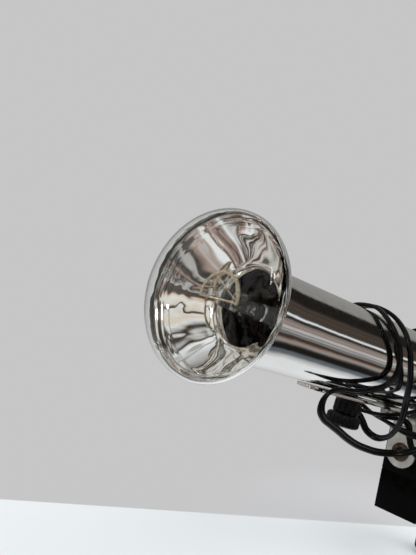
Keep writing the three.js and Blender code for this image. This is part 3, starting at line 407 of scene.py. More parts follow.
@dataclass(frozen=True)
class Silvering(Surface):
    """The silvering inside the bulb, which shows the folds and rings of the blown glass, with broken dark rings near
    its rim that are a painted reflection.

    Attributes:
        bright, worn, painted_ring_reflection: The colours of the silver, of its thin patches and of the broken dark
            rings near the rim, which are a painted reflection of the room in the rippled glass.
        rim: Where the silvering starts on the bulb's line, in metres.
        patch: The thin patches' scale per metre and their spread.
        dullest: The roughness of the thinnest patch.
        drift: The scale per metre at which rings wander.
        rings: The raised rings' step, height and wandering, in metres.
        folds: The scale per metre of the folds along the bulb, and their height in metres.
        drawn_out: By which share of their depth behind the rim the folds are drawn out.
        dents: The scale per metre of the broad dents, and their height in metres.
        lines: The dark rings' step and wandering, in metres.
        rings_end, lines_end: Where rings start to fade behind the rim, and where they end, in metres.
        breaks: The scale per metre at which the dark rings break up.
        darkest: How strong the painted dark rings are.
    """

    slot: str = "mirror"
    bright: Colour = screen(240, 239, 237)
    worn: Colour = screen(224, 220, 214)
    painted_ring_reflection: Colour = screen(52, 44, 36)
    rim: float = -0.192
    patch: Pair = (38.0, 0.2)
    dullest: float = 0.04
    drift: float = 24.0
    rings: Point = (0.0042, 0.0002, 0.008)
    rings_end: Pair = (0.003, 0.01)
    folds: Pair = (48.0, 0.0004)
    drawn_out: float = -0.7
    dents: Pair = (20.0, 0.006)
    lines: Pair = (0.0024, 0.005)
    lines_end: Pair = (0.0045, 0.012)
    breaks: float = 70.0
    darkest: float = 0.95

    @staticmethod
    def circles(wiring: Nodes, along: Socket, drift: Socket, step: float, wander: float) -> Socket:
        """Draws rings round the bulb's line by their step and wandering in metres, as a wave from -1 to 1."""
        bent = wiring.maths("ADD", along, wiring.maths("MULTIPLY", drift, wander))
        return wiring.maths("SINE", wiring.maths("MULTIPLY", bent, 2 * math.pi / step))

    def sockets(self, wiring: Nodes, where: Socket) -> dict[str, object]:
        """Draws the silver, its relief and the broken dark rings of painted reflection near its rim.

        Args:
            wiring: The material's wiring.
            where: The place on the piece.

        Returns:
            What each of the shader's sockets gets.
        """
        line = tuple(LIGHT.to_3x3().col[0])
        start = tuple(LIGHT @ Vector((self.rim, 0.0, 0.0)))
        along = wiring.vector("DOT_PRODUCT", n_0=wiring.vector("SUBTRACT", n_0=where, n_1=start), n_1=line)
        drift = wiring.noise(where, self.drift, 2.0)
        step, height, wander = self.rings
        rings = self.circles(wiring, along, drift, step, wander)
        rings = wiring.maths("MULTIPLY", rings, wiring.span(along, *self.rings_end, height, 0.0))
        pull = wiring.vector("SCALE", n_0=line, Scale=wiring.maths("MULTIPLY", along, self.drawn_out))
        folds = wiring.noise(wiring.vector("ADD", n_0=where, n_1=pull), self.folds[0], 1.0)
        folds = wiring.maths("MULTIPLY", folds, self.folds[1])
        dents = wiring.maths("MULTIPLY", wiring.noise(where, self.dents[0], 1.0), self.dents[1])
        relief = wiring.maths("ADD", rings, folds, dents)
        bump = wiring.add("ShaderNodeBump", None, Strength=1.0, Distance=1.0, Height=relief)
        # Painted reflection: broken dark rings near the rim, the room as the rippled glass would mirror it, put into
        # the silver's colour
        dark = wiring.span(self.circles(wiring, along, drift, *self.lines), 0.45, 0.9)
        broken = wiring.span(wiring.noise(where, self.breaks, 3.0), 0.42, 0.55)
        dark = wiring.maths("MULTIPLY", dark, broken, wiring.span(along, *self.lines_end, self.darkest, 0.0))
        patches = Effect.PATCHES.put(wiring, where, *self.patch)
        colour = wiring.blend(dark, wiring.blend(patches, self.bright, self.worn), self.painted_ring_reflection)
        rough = wiring.span(patches, 0.0, 1.0, 0.0, self.dullest)
        return {"Base Color": colour, "Roughness": rough, "Normal": bump.outputs[0], "Metallic": 1.0}


FINISHES: dict[str, Surface] = {
    item.slot: item
    for item in (
        Finish(
            "chrome", screen(230, 230, 231), screen(216, 215, 213),
            rough=(0.035, 0.09), patch=(22.0, 0.25), relief=(26.0, 0.00022), marks=0.15, dust=0.25, metallic=1.0,
        ),
        Finish(
            "zinc", screen(196, 195, 188), screen(156, 154, 145),
            rough=(0.34, 0.5), patch=(70.0, 0.22), relief=(1500.0, 0.00003), marks=0.5, dust=0.3, metallic=0.75,
        ),
        Finish(
            "steel", screen(150, 151, 153), screen(118, 117, 114),
            rough=(0.28, 0.45), patch=(80.0, 0.25), relief=(1200.0, 0.00002), marks=0.4, dust=0.2, metallic=1.0,
        ),
        Finish(
            "brass", screen(84, 66, 46), screen(38, 28, 20),
            rough=(0.4, 0.65), patch=(260.0, 0.14), relief=(1600.0, 0.00005), marks=0.3, dust=0.1, metallic=0.7,
        ),
        Finish(
            "black_paint", screen(16, 16, 16), screen(24, 24, 23),
            rough=(0.3, 0.45), patch=(90.0, 0.2), relief=(700.0, 0.00004), marks=0.2, dust=0.1, shine=0.3,
        ),
        Finish(
            "black_gloss", screen(2, 2, 1), screen(5, 4, 4),
            rough=(0.08, 0.16), patch=(45.0, 0.2), relief=(60.0, 0.00004), marks=0.18, dust=0.008, shine=0.03,
        ),
        Finish(
            "black_plastic", screen(5, 5, 5), screen(11, 11, 10),
            rough=(0.26, 0.38), patch=(110.0, 0.2), relief=(1400.0, 0.00003), marks=0.2, dust=0.04, shine=0.14,
        ),
        Finish(
            "cord", screen(3, 3, 4), screen(7, 7, 7),
            rough=(0.16, 0.26), patch=(120.0, 0.2), relief=(500.0, 0.00003), marks=0.1, dust=0.02, shine=0.14,
        ),
        Finish(
            "rubber", screen(26, 26, 26), screen(40, 39, 38),
            rough=(0.7, 0.85), patch=(140.0, 0.2), relief=(1800.0, 0.00006), marks=0.0, dust=0.15, shine=0.4,
        ),
        Finish(
            "bakelite", screen(34, 24, 18), screen(50, 36, 27),
            rough=(0.22, 0.35), patch=(90.0, 0.2), relief=(300.0, 0.00003), marks=0.1, dust=0.2,
        ),
        Finish(
            "porcelain", screen(232, 228, 218), screen(214, 208, 196),
            rough=(0.15, 0.3), patch=(80.0, 0.2), relief=(200.0, 0.00003), marks=0.0, dust=0.1,
        ),
        Finish(
            "fibre", screen(96, 72, 50), screen(70, 52, 36),
            rough=(0.75, 0.9), patch=(300.0, 0.2), relief=(1500.0, 0.00008), marks=0.0, dust=0.2,
        ),
        Finish(
            "nickel", screen(206, 198, 178), screen(170, 160, 138),
            rough=(0.16, 0.3), patch=(70.0, 0.2), relief=(900.0, 0.00001), marks=0.2, dust=0.1, metallic=1.0,
        ),
        Finish(
            "solder", screen(150, 152, 155), screen(120, 121, 123),
            rough=(0.35, 0.5), patch=(200.0, 0.2), relief=(500.0, 0.0001), marks=0.0, dust=0.0, metallic=1.0,
        ),
        Finish(
            "tungsten", screen(252, 244, 222), screen(238, 222, 186),
            rough=(0.16, 0.3), patch=(300.0, 0.2), relief=(900.0, 0.00001), marks=0.0, dust=0.0, metallic=1.0,
        ),
        Silvering(),
        ClearGlass(),
    )
}


class Bench:
    """The workbench: pieces are started from a primitive and shaped with mesh operators."""

    @staticmethod
    def clear() -> None:
        """Leaves edit mode and deselects everything."""
        if bpy.context.mode != "OBJECT":
            bpy.ops.object.mode_set(mode="OBJECT")
        bpy.ops.object.select_all(action="DESELECT")

    @classmethod
    def take(cls, *pieces: Piece) -> None:
        """Selects pieces and makes the first one active.

        Args:
            pieces: The pieces.
        """
        cls.clear()
        for piece in pieces:
            piece.select_set(True)
        bpy.context.view_layer.objects.active = pieces[0]

    @classmethod
    def place(cls, name: str, data: bpy.types.ID) -> Piece:
        """Puts a new object in the scene and takes it.

        Args:
            name: The object's name.
            data: Its mesh, curve, lamp or camera.

        Returns:
            The object.
        """
        piece = bpy.data.objects.new(name, data)
        bpy.context.scene.collection.objects.link(piece)
        cls.take(piece)
        return piece

    @staticmethod
    def open(name: str) -> Piece:
        """Names the active piece and opens all of it for editing.

        Args:
            name: The piece's name.

        Returns:
            The piece.
        """
        piece = bpy.context.object
        piece.name = name
        bpy.ops.object.mode_set(mode="EDIT")
        bpy.ops.mesh.select_all(action="SELECT")
        return piece

    @staticmethod
    def close() -> None:
        """Turns the faces of the piece outwards and leaves edit mode."""
        bpy.ops.mesh.select_all(action="SELECT")
        bpy.ops.mesh.normals_make_consistent(inside=False)
        bpy.ops.object.mode_set(mode="OBJECT")

    @classmethod
    def settle(cls, piece: Piece, place: Matrix) -> Piece:
        """Puts a piece in its place, with the place kept in its mesh.

        Args:
            piece: The piece, as it was drawn round the origin.
            place: Where it goes.

        Returns:
            The same piece.
        """
        cls.take(piece)
        bpy.ops.object.transform_apply(location=True, rotation=True, scale=True)
        piece.matrix_world = place
        bpy.ops.object.transform_apply(location=True, rotation=True, scale=True)
        return piece

    @classmethod
    def turned(cls, name: str, profile: Profile, segments: int = 64) -> Piece:
        """Draws a turned piece about Z: a ring is extruded from one profile point to the next.

        Args:
            name: The piece's name.
            profile: Points as (along Z, radius) in millimetres; a repeated first point closes a tube.
            segments: How many sides each ring has.

        Returns:
            The piece, round the origin.
        """
        cls.clear()
        tiny = 0.0004
        along, radius = profile[0][0], max(profile[0][1], tiny)
        bpy.ops.mesh.primitive_circle_add(vertices=segments, radius=radius * MM, location=(0, 0, 0))
        piece = cls.open(name)
        bpy.ops.transform.translate(value=(0, 0, along * MM))
        for next_along, next_radius in profile[1:]:
            next_radius = max(next_radius, tiny)
            move = {"value": (0, 0, (next_along - along) * MM)}
            bpy.ops.mesh.extrude_edges_move(TRANSFORM_OT_translate=move)
            if abs(next_radius - radius) > 1e-9:
                ratio = next_radius / radius
                bpy.ops.transform.resize(value=(ratio, ratio, 1), center_override=(0, 0, next_along * MM))
            along, radius = next_along, next_radius
        bpy.ops.mesh.select_all(action="SELECT")
        bpy.ops.mesh.remove_doubles(threshold=WELD)
        if profile[0] != profile[-1]:
            bpy.ops.mesh.select_all(action="DESELECT")
            bpy.ops.mesh.select_non_manifold()
            piece.update_from_editmode()
            if any(vertex.select for vertex in piece.data.vertices):
                bpy.ops.mesh.fill_holes(sides=0)
        cls.close()
        return piece

    @classmethod
    def rod(cls, name: str, low: float, high: float, radius: float, segments: int = 48) -> Piece:
        """Draws a plain rod about Z between two heights in millimetres, as a drill takes it out."""
        return cls.turned(name, [(low, 0), (low, radius), (high, radius), (high, 0)], segments)

    @classmethod
    def eye(cls, low: float, high: float) -> Piece:
        """Rolls one eye of the hinge about Z, between two heights in millimetres."""
        corner = (low, EYE_BORE)
        return cls.turned("eye", [corner, (low, EYE_RADIUS), (high, EYE_RADIUS), (high, EYE_BORE), corner], 48)

    @classmethod
    def plate(cls, name: str, low: Point, high: Point, rounds: list[Point] | None = None, segments: int = 12) -> Piece:
        """Draws a flat plate: a plane with rounded corners, extruded along Z.

        Args:
            name: The piece's name.
            low: Its lowest corner in millimetres.
            high: Its highest corner in millimetres.
            rounds: Corners as (x, y, radius).
            segments: How many steps each round has.

        Returns:
            The piece, in its own frame.
        """
        cls.clear()
        bpy.ops.mesh.primitive_plane_add(size=1, location=(0, 0, 0))
        piece = cls.open(name)
        size = [(b - a) * MM for a, b in zip(low, high)]
        middle = [(a + b) / 2 * MM for a, b in zip(low, high)]
        bpy.ops.transform.resize(value=(size[0], size[1], 1), center_override=(0, 0, 0))
        bpy.ops.transform.translate(value=(middle[0], middle[1], low[2] * MM))
        for x, y, radius in rounds or []:
            cls.choose(piece, lambda co, x=x, y=y: math.hypot(co.x - x * MM, co.y - y * MM) < 1e-6)
            bpy.ops.mesh.bevel(offset=radius * MM, segments=segments, affect="VERTICES", clamp_overlap=False)
        bpy.ops.mesh.select_all(action="SELECT")
        bpy.ops.mesh.remove_doubles(threshold=WELD)
        bpy.ops.mesh.extrude_region_move(TRANSFORM_OT_translate={"value": (0, 0, size[2])})
        cls.close()
        return piece

    @staticmethod
    def choose(piece: Piece, test: Callable[[Vector], bool]) -> None:
        """Selects the vertices that pass a test of their place, and the faces and edges between them.

        Args:
            piece: The piece, in edit mode.
            test: A function of a vertex's place in metres.
        """
        bpy.ops.mesh.select_mode(type="VERT")
        bpy.ops.mesh.select_all(action="DESELECT")
        bpy.ops.object.mode_set(mode="OBJECT")
        for vertex in piece.data.vertices:
            vertex.select = test(vertex.co)
        bpy.ops.object.mode_set(mode="EDIT")

    @classmethod
    def flute(cls, piece: Piece, count: int, low: float, high: float, radius: float, ratio: float) -> None:
        """Presses flutes into a turned piece's side, two of each six steps round it.

        Args:
            piece: A turned piece with six times count segments, round the origin.
            count: How many flutes.
            low: The flutes' lower end in millimetres.
            high: Their upper end in millimetres.
            radius: Only what lies outside this radius is pressed in.
            ratio: What remains of the radius in a flute, as a share.
        """
        cls.take(piece)
        bpy.ops.object.mode_set(mode="EDIT")
        whole = 2 * math.pi
        step = whole / (6 * count)

        def pressed(co: Vector) -> bool:
            """Says if a vertex lies in a flute."""
            turn = round((math.atan2(co.y, co.x) % whole) / step) % 6
            return turn < 2 and low * MM <= co.z <= high * MM and math.hypot(co.x, co.y) > radius * MM

        cls.choose(piece, pressed)
        bpy.ops.transform.resize(value=(ratio, ratio, 1), center_override=(0, 0, 0))
        bpy.ops.object.mode_set(mode="OBJECT")

    @classmethod
    def combine(cls, piece: Piece, fit: Fit, *others: Piece) -> None:
        """Adds other solids to a piece or takes them away from it.

        Args:
            piece: The piece that stays.
            fit: Whether the others are added or cut out.
            others: The solids, which are used up.
        """
        for other in others:
            cls.take(piece)
            modifier = piece.modifiers.new("fit", "BOOLEAN")
            modifier.operation, modifier.solver, modifier.object = fit.value, "EXACT", other
            bpy.ops.object.modifier_apply(modifier=modifier.name)
            bpy.data.objects.remove(other, do_unlink=True)

    @classmethod
    def soften(cls, piece: Piece, width: float = 0.0, steps: int = 2, angle: float = 35.0) -> None:
        """Breaks a piece's sharp edges and shades it smooth between them.

        Args:
            piece: The piece.
            width: The edges' width in millimetres, or 0 for none.
            steps: How many faces each edge has.
            angle: Edges sharper than this, in degrees, are broken.
        """
        cls.take(piece)
        if width:
            modifier = piece.modifiers.new("edges", "BEVEL")
            modifier.width, modifier.segments = width * MM, steps
            modifier.limit_method, modifier.angle_limit = "ANGLE", math.radians(angle)
            bpy.ops.object.modifier_apply(modifier=modifier.name)
        bpy.ops.object.shade_smooth_by_angle(angle=math.radians(angle))

    @staticmethod
    def finish(piece: Piece, body: Body, slot: str, *nodes: str) -> None:
        """Dresses a piece, lets it ride on its body and says which solids it stands for.

        Args:
            piece: The piece, in place.
            body: The body that it moves with.
            slot: The record's material slot.
            nodes: The solids that it replaces.
        """
        piece.data.materials.clear()
        piece.data.materials.append(FINISHES[slot].material())
        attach(piece, body.value)
        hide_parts(*nodes)
        log.info("%s stands for %s", piece.name, ", ".join(nodes))

    @classmethod
    def deliver(cls, piece: Piece, place: Matrix, body: Body, slot: str, node: str, **edges: float) -> None:
        """Softens a piece, puts it in its place and finishes it.

        Args:
            piece: The piece, as it was drawn round the origin.
            place: Where it goes.
            body: The body that it moves with.
            slot: The record's material slot.
            node: The solid that it replaces.
            edges: Its edges, as in soften.
        """
        cls.soften(piece, **edges)
        cls.settle(piece, place)
        cls.finish(piece, body, slot, node)

    @classmethod
    def refine(cls, node: str, name: str, body: Body, slot: str, **edges: float) -> Piece:
        """Copies a solid of the frame, closes its seams, breaks its edges and finishes it.

        Args:
            node: The solid's name.
            name: The new piece's name.
            body: The body that it moves with.
            slot: The record's material slot.
            edges: Its edges, as in soften.

        Returns:
            The new piece.
        """
        piece = cls.place(name, frame["nodes"][node].data.copy())
        cls.open(name)
        bpy.ops.mesh.remove_doubles(threshold=WELD / 2)
        bpy.ops.mesh.dissolve_limited(angle_limit=math.radians(1.0))
        cls.close()
        cls.soften(piece, **edges)
        cls.finish(piece, body, slot, node)
        return piece


def smooth_line(points: list[Vector], step: float, fine: int = 24) -> list[Vector]:
    """Draws a smooth line through points and divides it evenly.

    Args:
        points: The points that it passes through.
        step: The distance between the points returned.
        fine: How many short pieces each stretch is measured in.

    Returns:
        Evenly spaced points along the line.
    """
    ends = [2 * points[0] - points[1], *points, 2 * points[-1] - points[-2]]
    dense: list[Vector] = []
    for i in range(1, len(ends) - 2):
        before, start, stop, after = ends[i - 1 : i + 3]
        spans = [max((b - a).length, 1e-9) ** 0.5 for a, b in ((before, start), (start, stop), (stop, after))]
        leave = (start - before) / spans[0] - (stop - before) / (spans[0] + spans[1]) + (stop - start) / spans[1]
        reach = (stop - start) / spans[1] - (after - start) / (spans[1] + spans[2]) + (after - stop) / spans[2]
        leave, reach = leave * spans[1], reach * spans[1]
        for k in range(fine):
            t = k / fine
            square, cube = t * t, t * t * t
            near = start * (2 * cube - 3 * square + 1) + leave * (cube - 2 * square + t)
            dense.append(near + stop * (3 * square - 2 * cube) + reach * (cube - square))
    dense.append(points[-1])
    lengths = [0.0]
    for a, b in zip(dense, dense[1:]):
        lengths.append(lengths[-1] + (b - a).length)
    count = max(2, round(lengths[-1] / step))
    evenly, at = [], 0
    for k in range(count + 1):
        want = lengths[-1] * k / count
        while at < len(dense) - 2 and lengths[at + 1] < want:
            at += 1
        share = (want - lengths[at]) / max(lengths[at + 1] - lengths[at], 1e-12)
        evenly.append(dense[at].lerp(dense[at + 1], min(max(share, 0.0), 1.0)))
    return evenly


@dataclass
class Cords:
    """The flat twin cord: the lamp's own lead, and the mains cord with its two loose turns, slack loop and hank.

    Sizes are in millimetres, and points in the tube's frame: along it, to the far side and up. A lobe is one of the
    two cores. Clear says how far from the tube's line the cord leaves its round, and over which distance. Hanging is
    the way that its flat side faces from there on, and evening how often neighbouring directions are evened out.
    """

    width: float = 5.2
    lobe: float = 1.35
    lobe_points: int = 8
    step: float = 1.9
    clear: Pair = (38.0, 12.0)
    hanging: Point = (-0.3, -1.0, 0.0)
    evening: int = 10
    hank_middle: float = 43.0
    hank_half: float = 24.5
    hank_inner: float = 11.0
    hank_step: float = 6.3
    hank_loops: int = 3
    hank_arc: int = 8
    hank_run: int = 4
    hank_pinch: float = 4.0
    hank_y: float = 31.2
    hank_layer: float = 5.8
    lead: list[Point] = field(default_factory=lambda: [
        (94.6, 0, -0.4), (101, 0, -0.4), (109, -4, -0.5), (113, -14, -0.9), (109, -25, -1.6), (99, -31, -3),
        (84, -32, -4.5), (70, -31.8, -6), (57, -30.8, -9.5), (46, -29.9, -14.8), (36, -27.2, -20.2),
        (26, -22.5, -24.5), (16, -17.5, -30), (7, -12.6, -33.8), (-2, -8.8, -35.8), (-10, -5.6, -36.6),
        (-18, -3.6, -36.8), (-24.9, -3.3, -36.8),
    ])
    start: list[Point] = field(default_factory=lambda: [
        (-24.9, 3.3, -36.8), (-18, 3, -36.8), (-10, 1, -37), (-2, -2, -37.4), (6, -5.5, -37.6),
        (14, -9.6, -36.6), (22, -13.2, -35.4), (28.5, -15.4, -38.6), (32, -16.6, -46), (33.8, -20, -53),
        (35, -26.5, -57), (35.4, -33, -54.4), (34, -35, -48), (30, -30.5, -43.6), (25, -21, -43.4),
        (21.5, -11.4, -42.4), (19, -3, -40.6), (16.5, 6, -38.8),
    ])
    wraps: list[Point] = field(default_factory=lambda: [
        (12, 15, -34.6), (3, 23.5, -26.5), (-5, 29, -15.5), (-13, 31.6, -3), (-21, 30.6, 9.8), (-28, 24.4, 21),
        (-33.5, 13, 29.6), (-36.5, 3, 32), (-36.5, -6.5, 31.8), (-34.5, -15.8, 28.3), (-33.5, -25, 20.6),
        (-32, -31.2, 9.5), (-26.5, -32, 0), (-19.5, -30.8, -8.5), (-12, -27.8, -16.5), (-5, -25, -22.8),
        (0.5, -22.8, -29.5), (6, -19.8, -36.5), (11, -15.4, -43.5), (15.5, -9, -50), (16, -1, -53.5),
        (12, 6, -51), (7.5, 10, -44.5), (2, 16, -36.5), (-8, 24.6, -26.6), (-17, 30.2, -14.5), (-26, 32.2, -1),
        (-34, 29.8, 12.2), (-39.5, 22.5, 22.6), (-42, 12, 29.5), (-43, 1.5, 31.4), (-46.5, -8.5, 30.4),
        (-50, -17.5, 26.4), (-50, -24.9, 20.2), (-46.5, -29.6, 12), (-42, -31.5, 2), (-40, -30.6, -7.5),
        (-43.5, -27.8, -15.4),
    ])
    rest: list[Point] = field(default_factory=lambda: [
        (-51, -25, -20), (-58, -22.4, -23), (-67, -19.6, -25.2), (-76, -17.8, -26.2), (-84, -16.6, -28.6),
        (-88, -15.6, -34.4), (-86.4, -14.8, -41), (-79, -14, -45.8), (-69, -13.2, -48.6), (-57, -12.4, -51.6),
        (-43, -11.6, -55.4), (-28, -11, -58.6), (-13, -11, -60.4), (2, -12, -61.2), (15, -16, -59.6),
        (22, -24, -55.4), (24, -33, -47.5), (24.5, -39, -36), (25.5, -41, -22), (28.5, -39.5, -8),
        (33, -35.5, 6), (38, -28.5, 18.5), (43, -18.5, 28), (48, -5, 33.2), (52, 8, 32.8), (55.5, 18.5, 29),
        (59, 26.6, 24.6),
    ])
    tail: list[Point] = field(default_factory=lambda: [
        (76, 37.6, 19.6), (84, 40, 14.5), (87.5, 43.5, 5.5), (83, 46.6, -2.5), (75, 48, -4.9), (66, 48.2, -5),
        (59.3, 48.2, -5),
    ])

    def hank(self) -> list[Point]:
        """Winds the hank: oval turns that close in on the inner layer and open out on the outer one.

        Returns:
            The hank's points along the tube.
        """
        points: list[Point] = []
        arc, run = self.hank_arc, self.hank_run
        turn = 2 * (arc + run)
        total = self.hank_loops * turn
        for k in range(total + 1):
            radius = self.hank_inner + abs(k - total / 2) / turn * self.hank_step
            at = k % turn
            side, step = (1, at) if at <= arc + run else (-1, at - arc - run)
            if step <= arc:
                angle = side * math.pi / 2 - step / arc * math.pi
                s, n = side * self.hank_half + radius * math.cos(angle), radius * math.sin(angle)
            else:
                s, n = side * self.hank_half * (1 - 2 * (step - arc) / run), -side * radius
            if abs(s) < self.hank_half:
                n -= math.copysign(self.hank_pinch * (1 - (s / self.hank_half) ** 2), n)
            climb = min(max((k - total / 2) / run + 0.5, 0.0), 1.0)
            points.append((self.hank_middle + s, self.hank_y + self.hank_layer * climb, n))
        return points

    def section(self) -> Profile:
        """Draws the twin cord's outline, two round cores side by side.

        Returns:
            The outline's points, across and away from what it lies on.
        """
        offset = self.width / 2 - self.lobe
        reach = math.pi - math.acos(offset / self.lobe)
        last = self.lobe_points - 1
        outline = []
        for side in (0.0, math.pi):
            for k in range(last):
                angle = -reach + (2 * reach) * k / last
                x, y = offset + self.lobe * math.cos(angle), self.lobe * math.sin(angle)
                outline.append((x * math.cos(side) - y * math.sin(side), x * math.sin(side) + y * math.cos(side)))
        return outline

    @staticmethod
    def heading(line: list[Vector], i: int) -> Vector:
        """Finds which way a line runs at one of its points."""
        return (line[min(i + 1, len(line) - 1)] - line[max(i - 1, 0)]).normalized()

    def facing(self, line: list[Vector], hank_from: int = -1, hank_to: int = -1) -> list[Vector]:
        """Finds which way the cord's flat side faces at each point.

        Args:
            line: The cord's middle line in the tube's frame, in millimetres.
            hank_from: Where the hank starts in it.
            hank_to: Where the hank ends.

        Returns:
            A direction for each point, square to the line.
        """
        ways = []
        for i, point in enumerate(line):
            along = self.heading(line, i)
            outwards = Vector((0, point.y, point.z))
            away = min(max((outwards.length - self.clear[0]) / self.clear[1], 0.0), 1.0)
            way = outwards.normalized().lerp(Vector(self.hanging), away)
            if hank_from <= i <= hank_to:
                way = along.cross(Vector((0, 1, 0)))
            ways.append((way - along * way.dot(along)).normalized())
        for _ in range(self.evening):
            rows = zip([ways[0], *ways], ways, [*ways[1:], ways[-1]])
            ways = [(before + 2 * way + after).normalized() for before, way, after in rows]
        return ways

    def sweep(self, name: str, line: list[Vector], ways: list[Vector]) -> Piece:
        """Draws the cord as a closed skin along its line.

        Args:
            name: The piece's name.
            line: The middle line in millimetres.
            ways: The direction that its flat side faces at each point.

        Returns:
            The piece, in the row's frame.
        """
        outline = self.section()
        count = len(outline)
        corners, faces = [], []
        for i, (point, way) in enumerate(zip(line, ways)):
            along = self.heading(line, i)
            way = (way - along * way.dot(along)).normalized()
            across = along.cross(way)
            corners += [HEAD @ ((point + across * x + way * y) * MM) for x, y in outline]
            if i:
                base = (i - 1) * count
                for k in range(count):
                    after = (k + 1) % count
                    faces.append((base + k, base + after, base + count + after, base + count + k))
        faces.append(tuple(range(count))[::-1])
        faces.append(tuple(range(len(corners) - count, len(corners))))
        mesh = bpy.data.meshes.new(name)
        mesh.from_pydata(corners, [], faces)
        piece = Bench.place(name, mesh)
        bpy.ops.object.mode_set(mode="EDIT")
        Bench.close()
        bpy.ops.object.shade_smooth_by_angle(angle=math.radians(60))
        return piece

    def build(self) -> None:
        """Lays both cords, with the tie and the plug that go with the mains cord."""
        line = smooth_line([Vector(p) for p in self.lead], self.step)
        piece = self.sweep("lead_flex", line, self.facing(line))
        Bench.finish(piece, Body.HEAD, "cord", "lamp_lead")
        hank = self.hank()
        line = smooth_line([Vector(p) for p in self.start + self.wraps + self.rest + hank + self.tail], self.step)
        ends = [min(range(len(line)), key=lambda i: (line[i] - Vector(end)).length) for end in (hank[0], hank[-1])]
        piece = self.sweep("mains_flex", line, self.facing(line, *ends))
        nodes = ("mains_cord_start", "cord_wraps", "mains_cord_rest", "cord_hank", "cord_tail")
        Bench.finish(piece, Body.HEAD, "cord", *nodes)
        tie = Bench.refine("cord_tie", "hank_tie", Body.HEAD, "rubber", width=0.3)
        plug = Bench.refine("plug_body", "plug_moulding", Body.HEAD, "black_plastic", width=1.4, steps=3)
        pins = [
            Bench.refine(f"plug_pin_{end}", f"pin_{end}", Body.HEAD, "nickel", width=0.3) for end in ("lower", "upper")
        ]


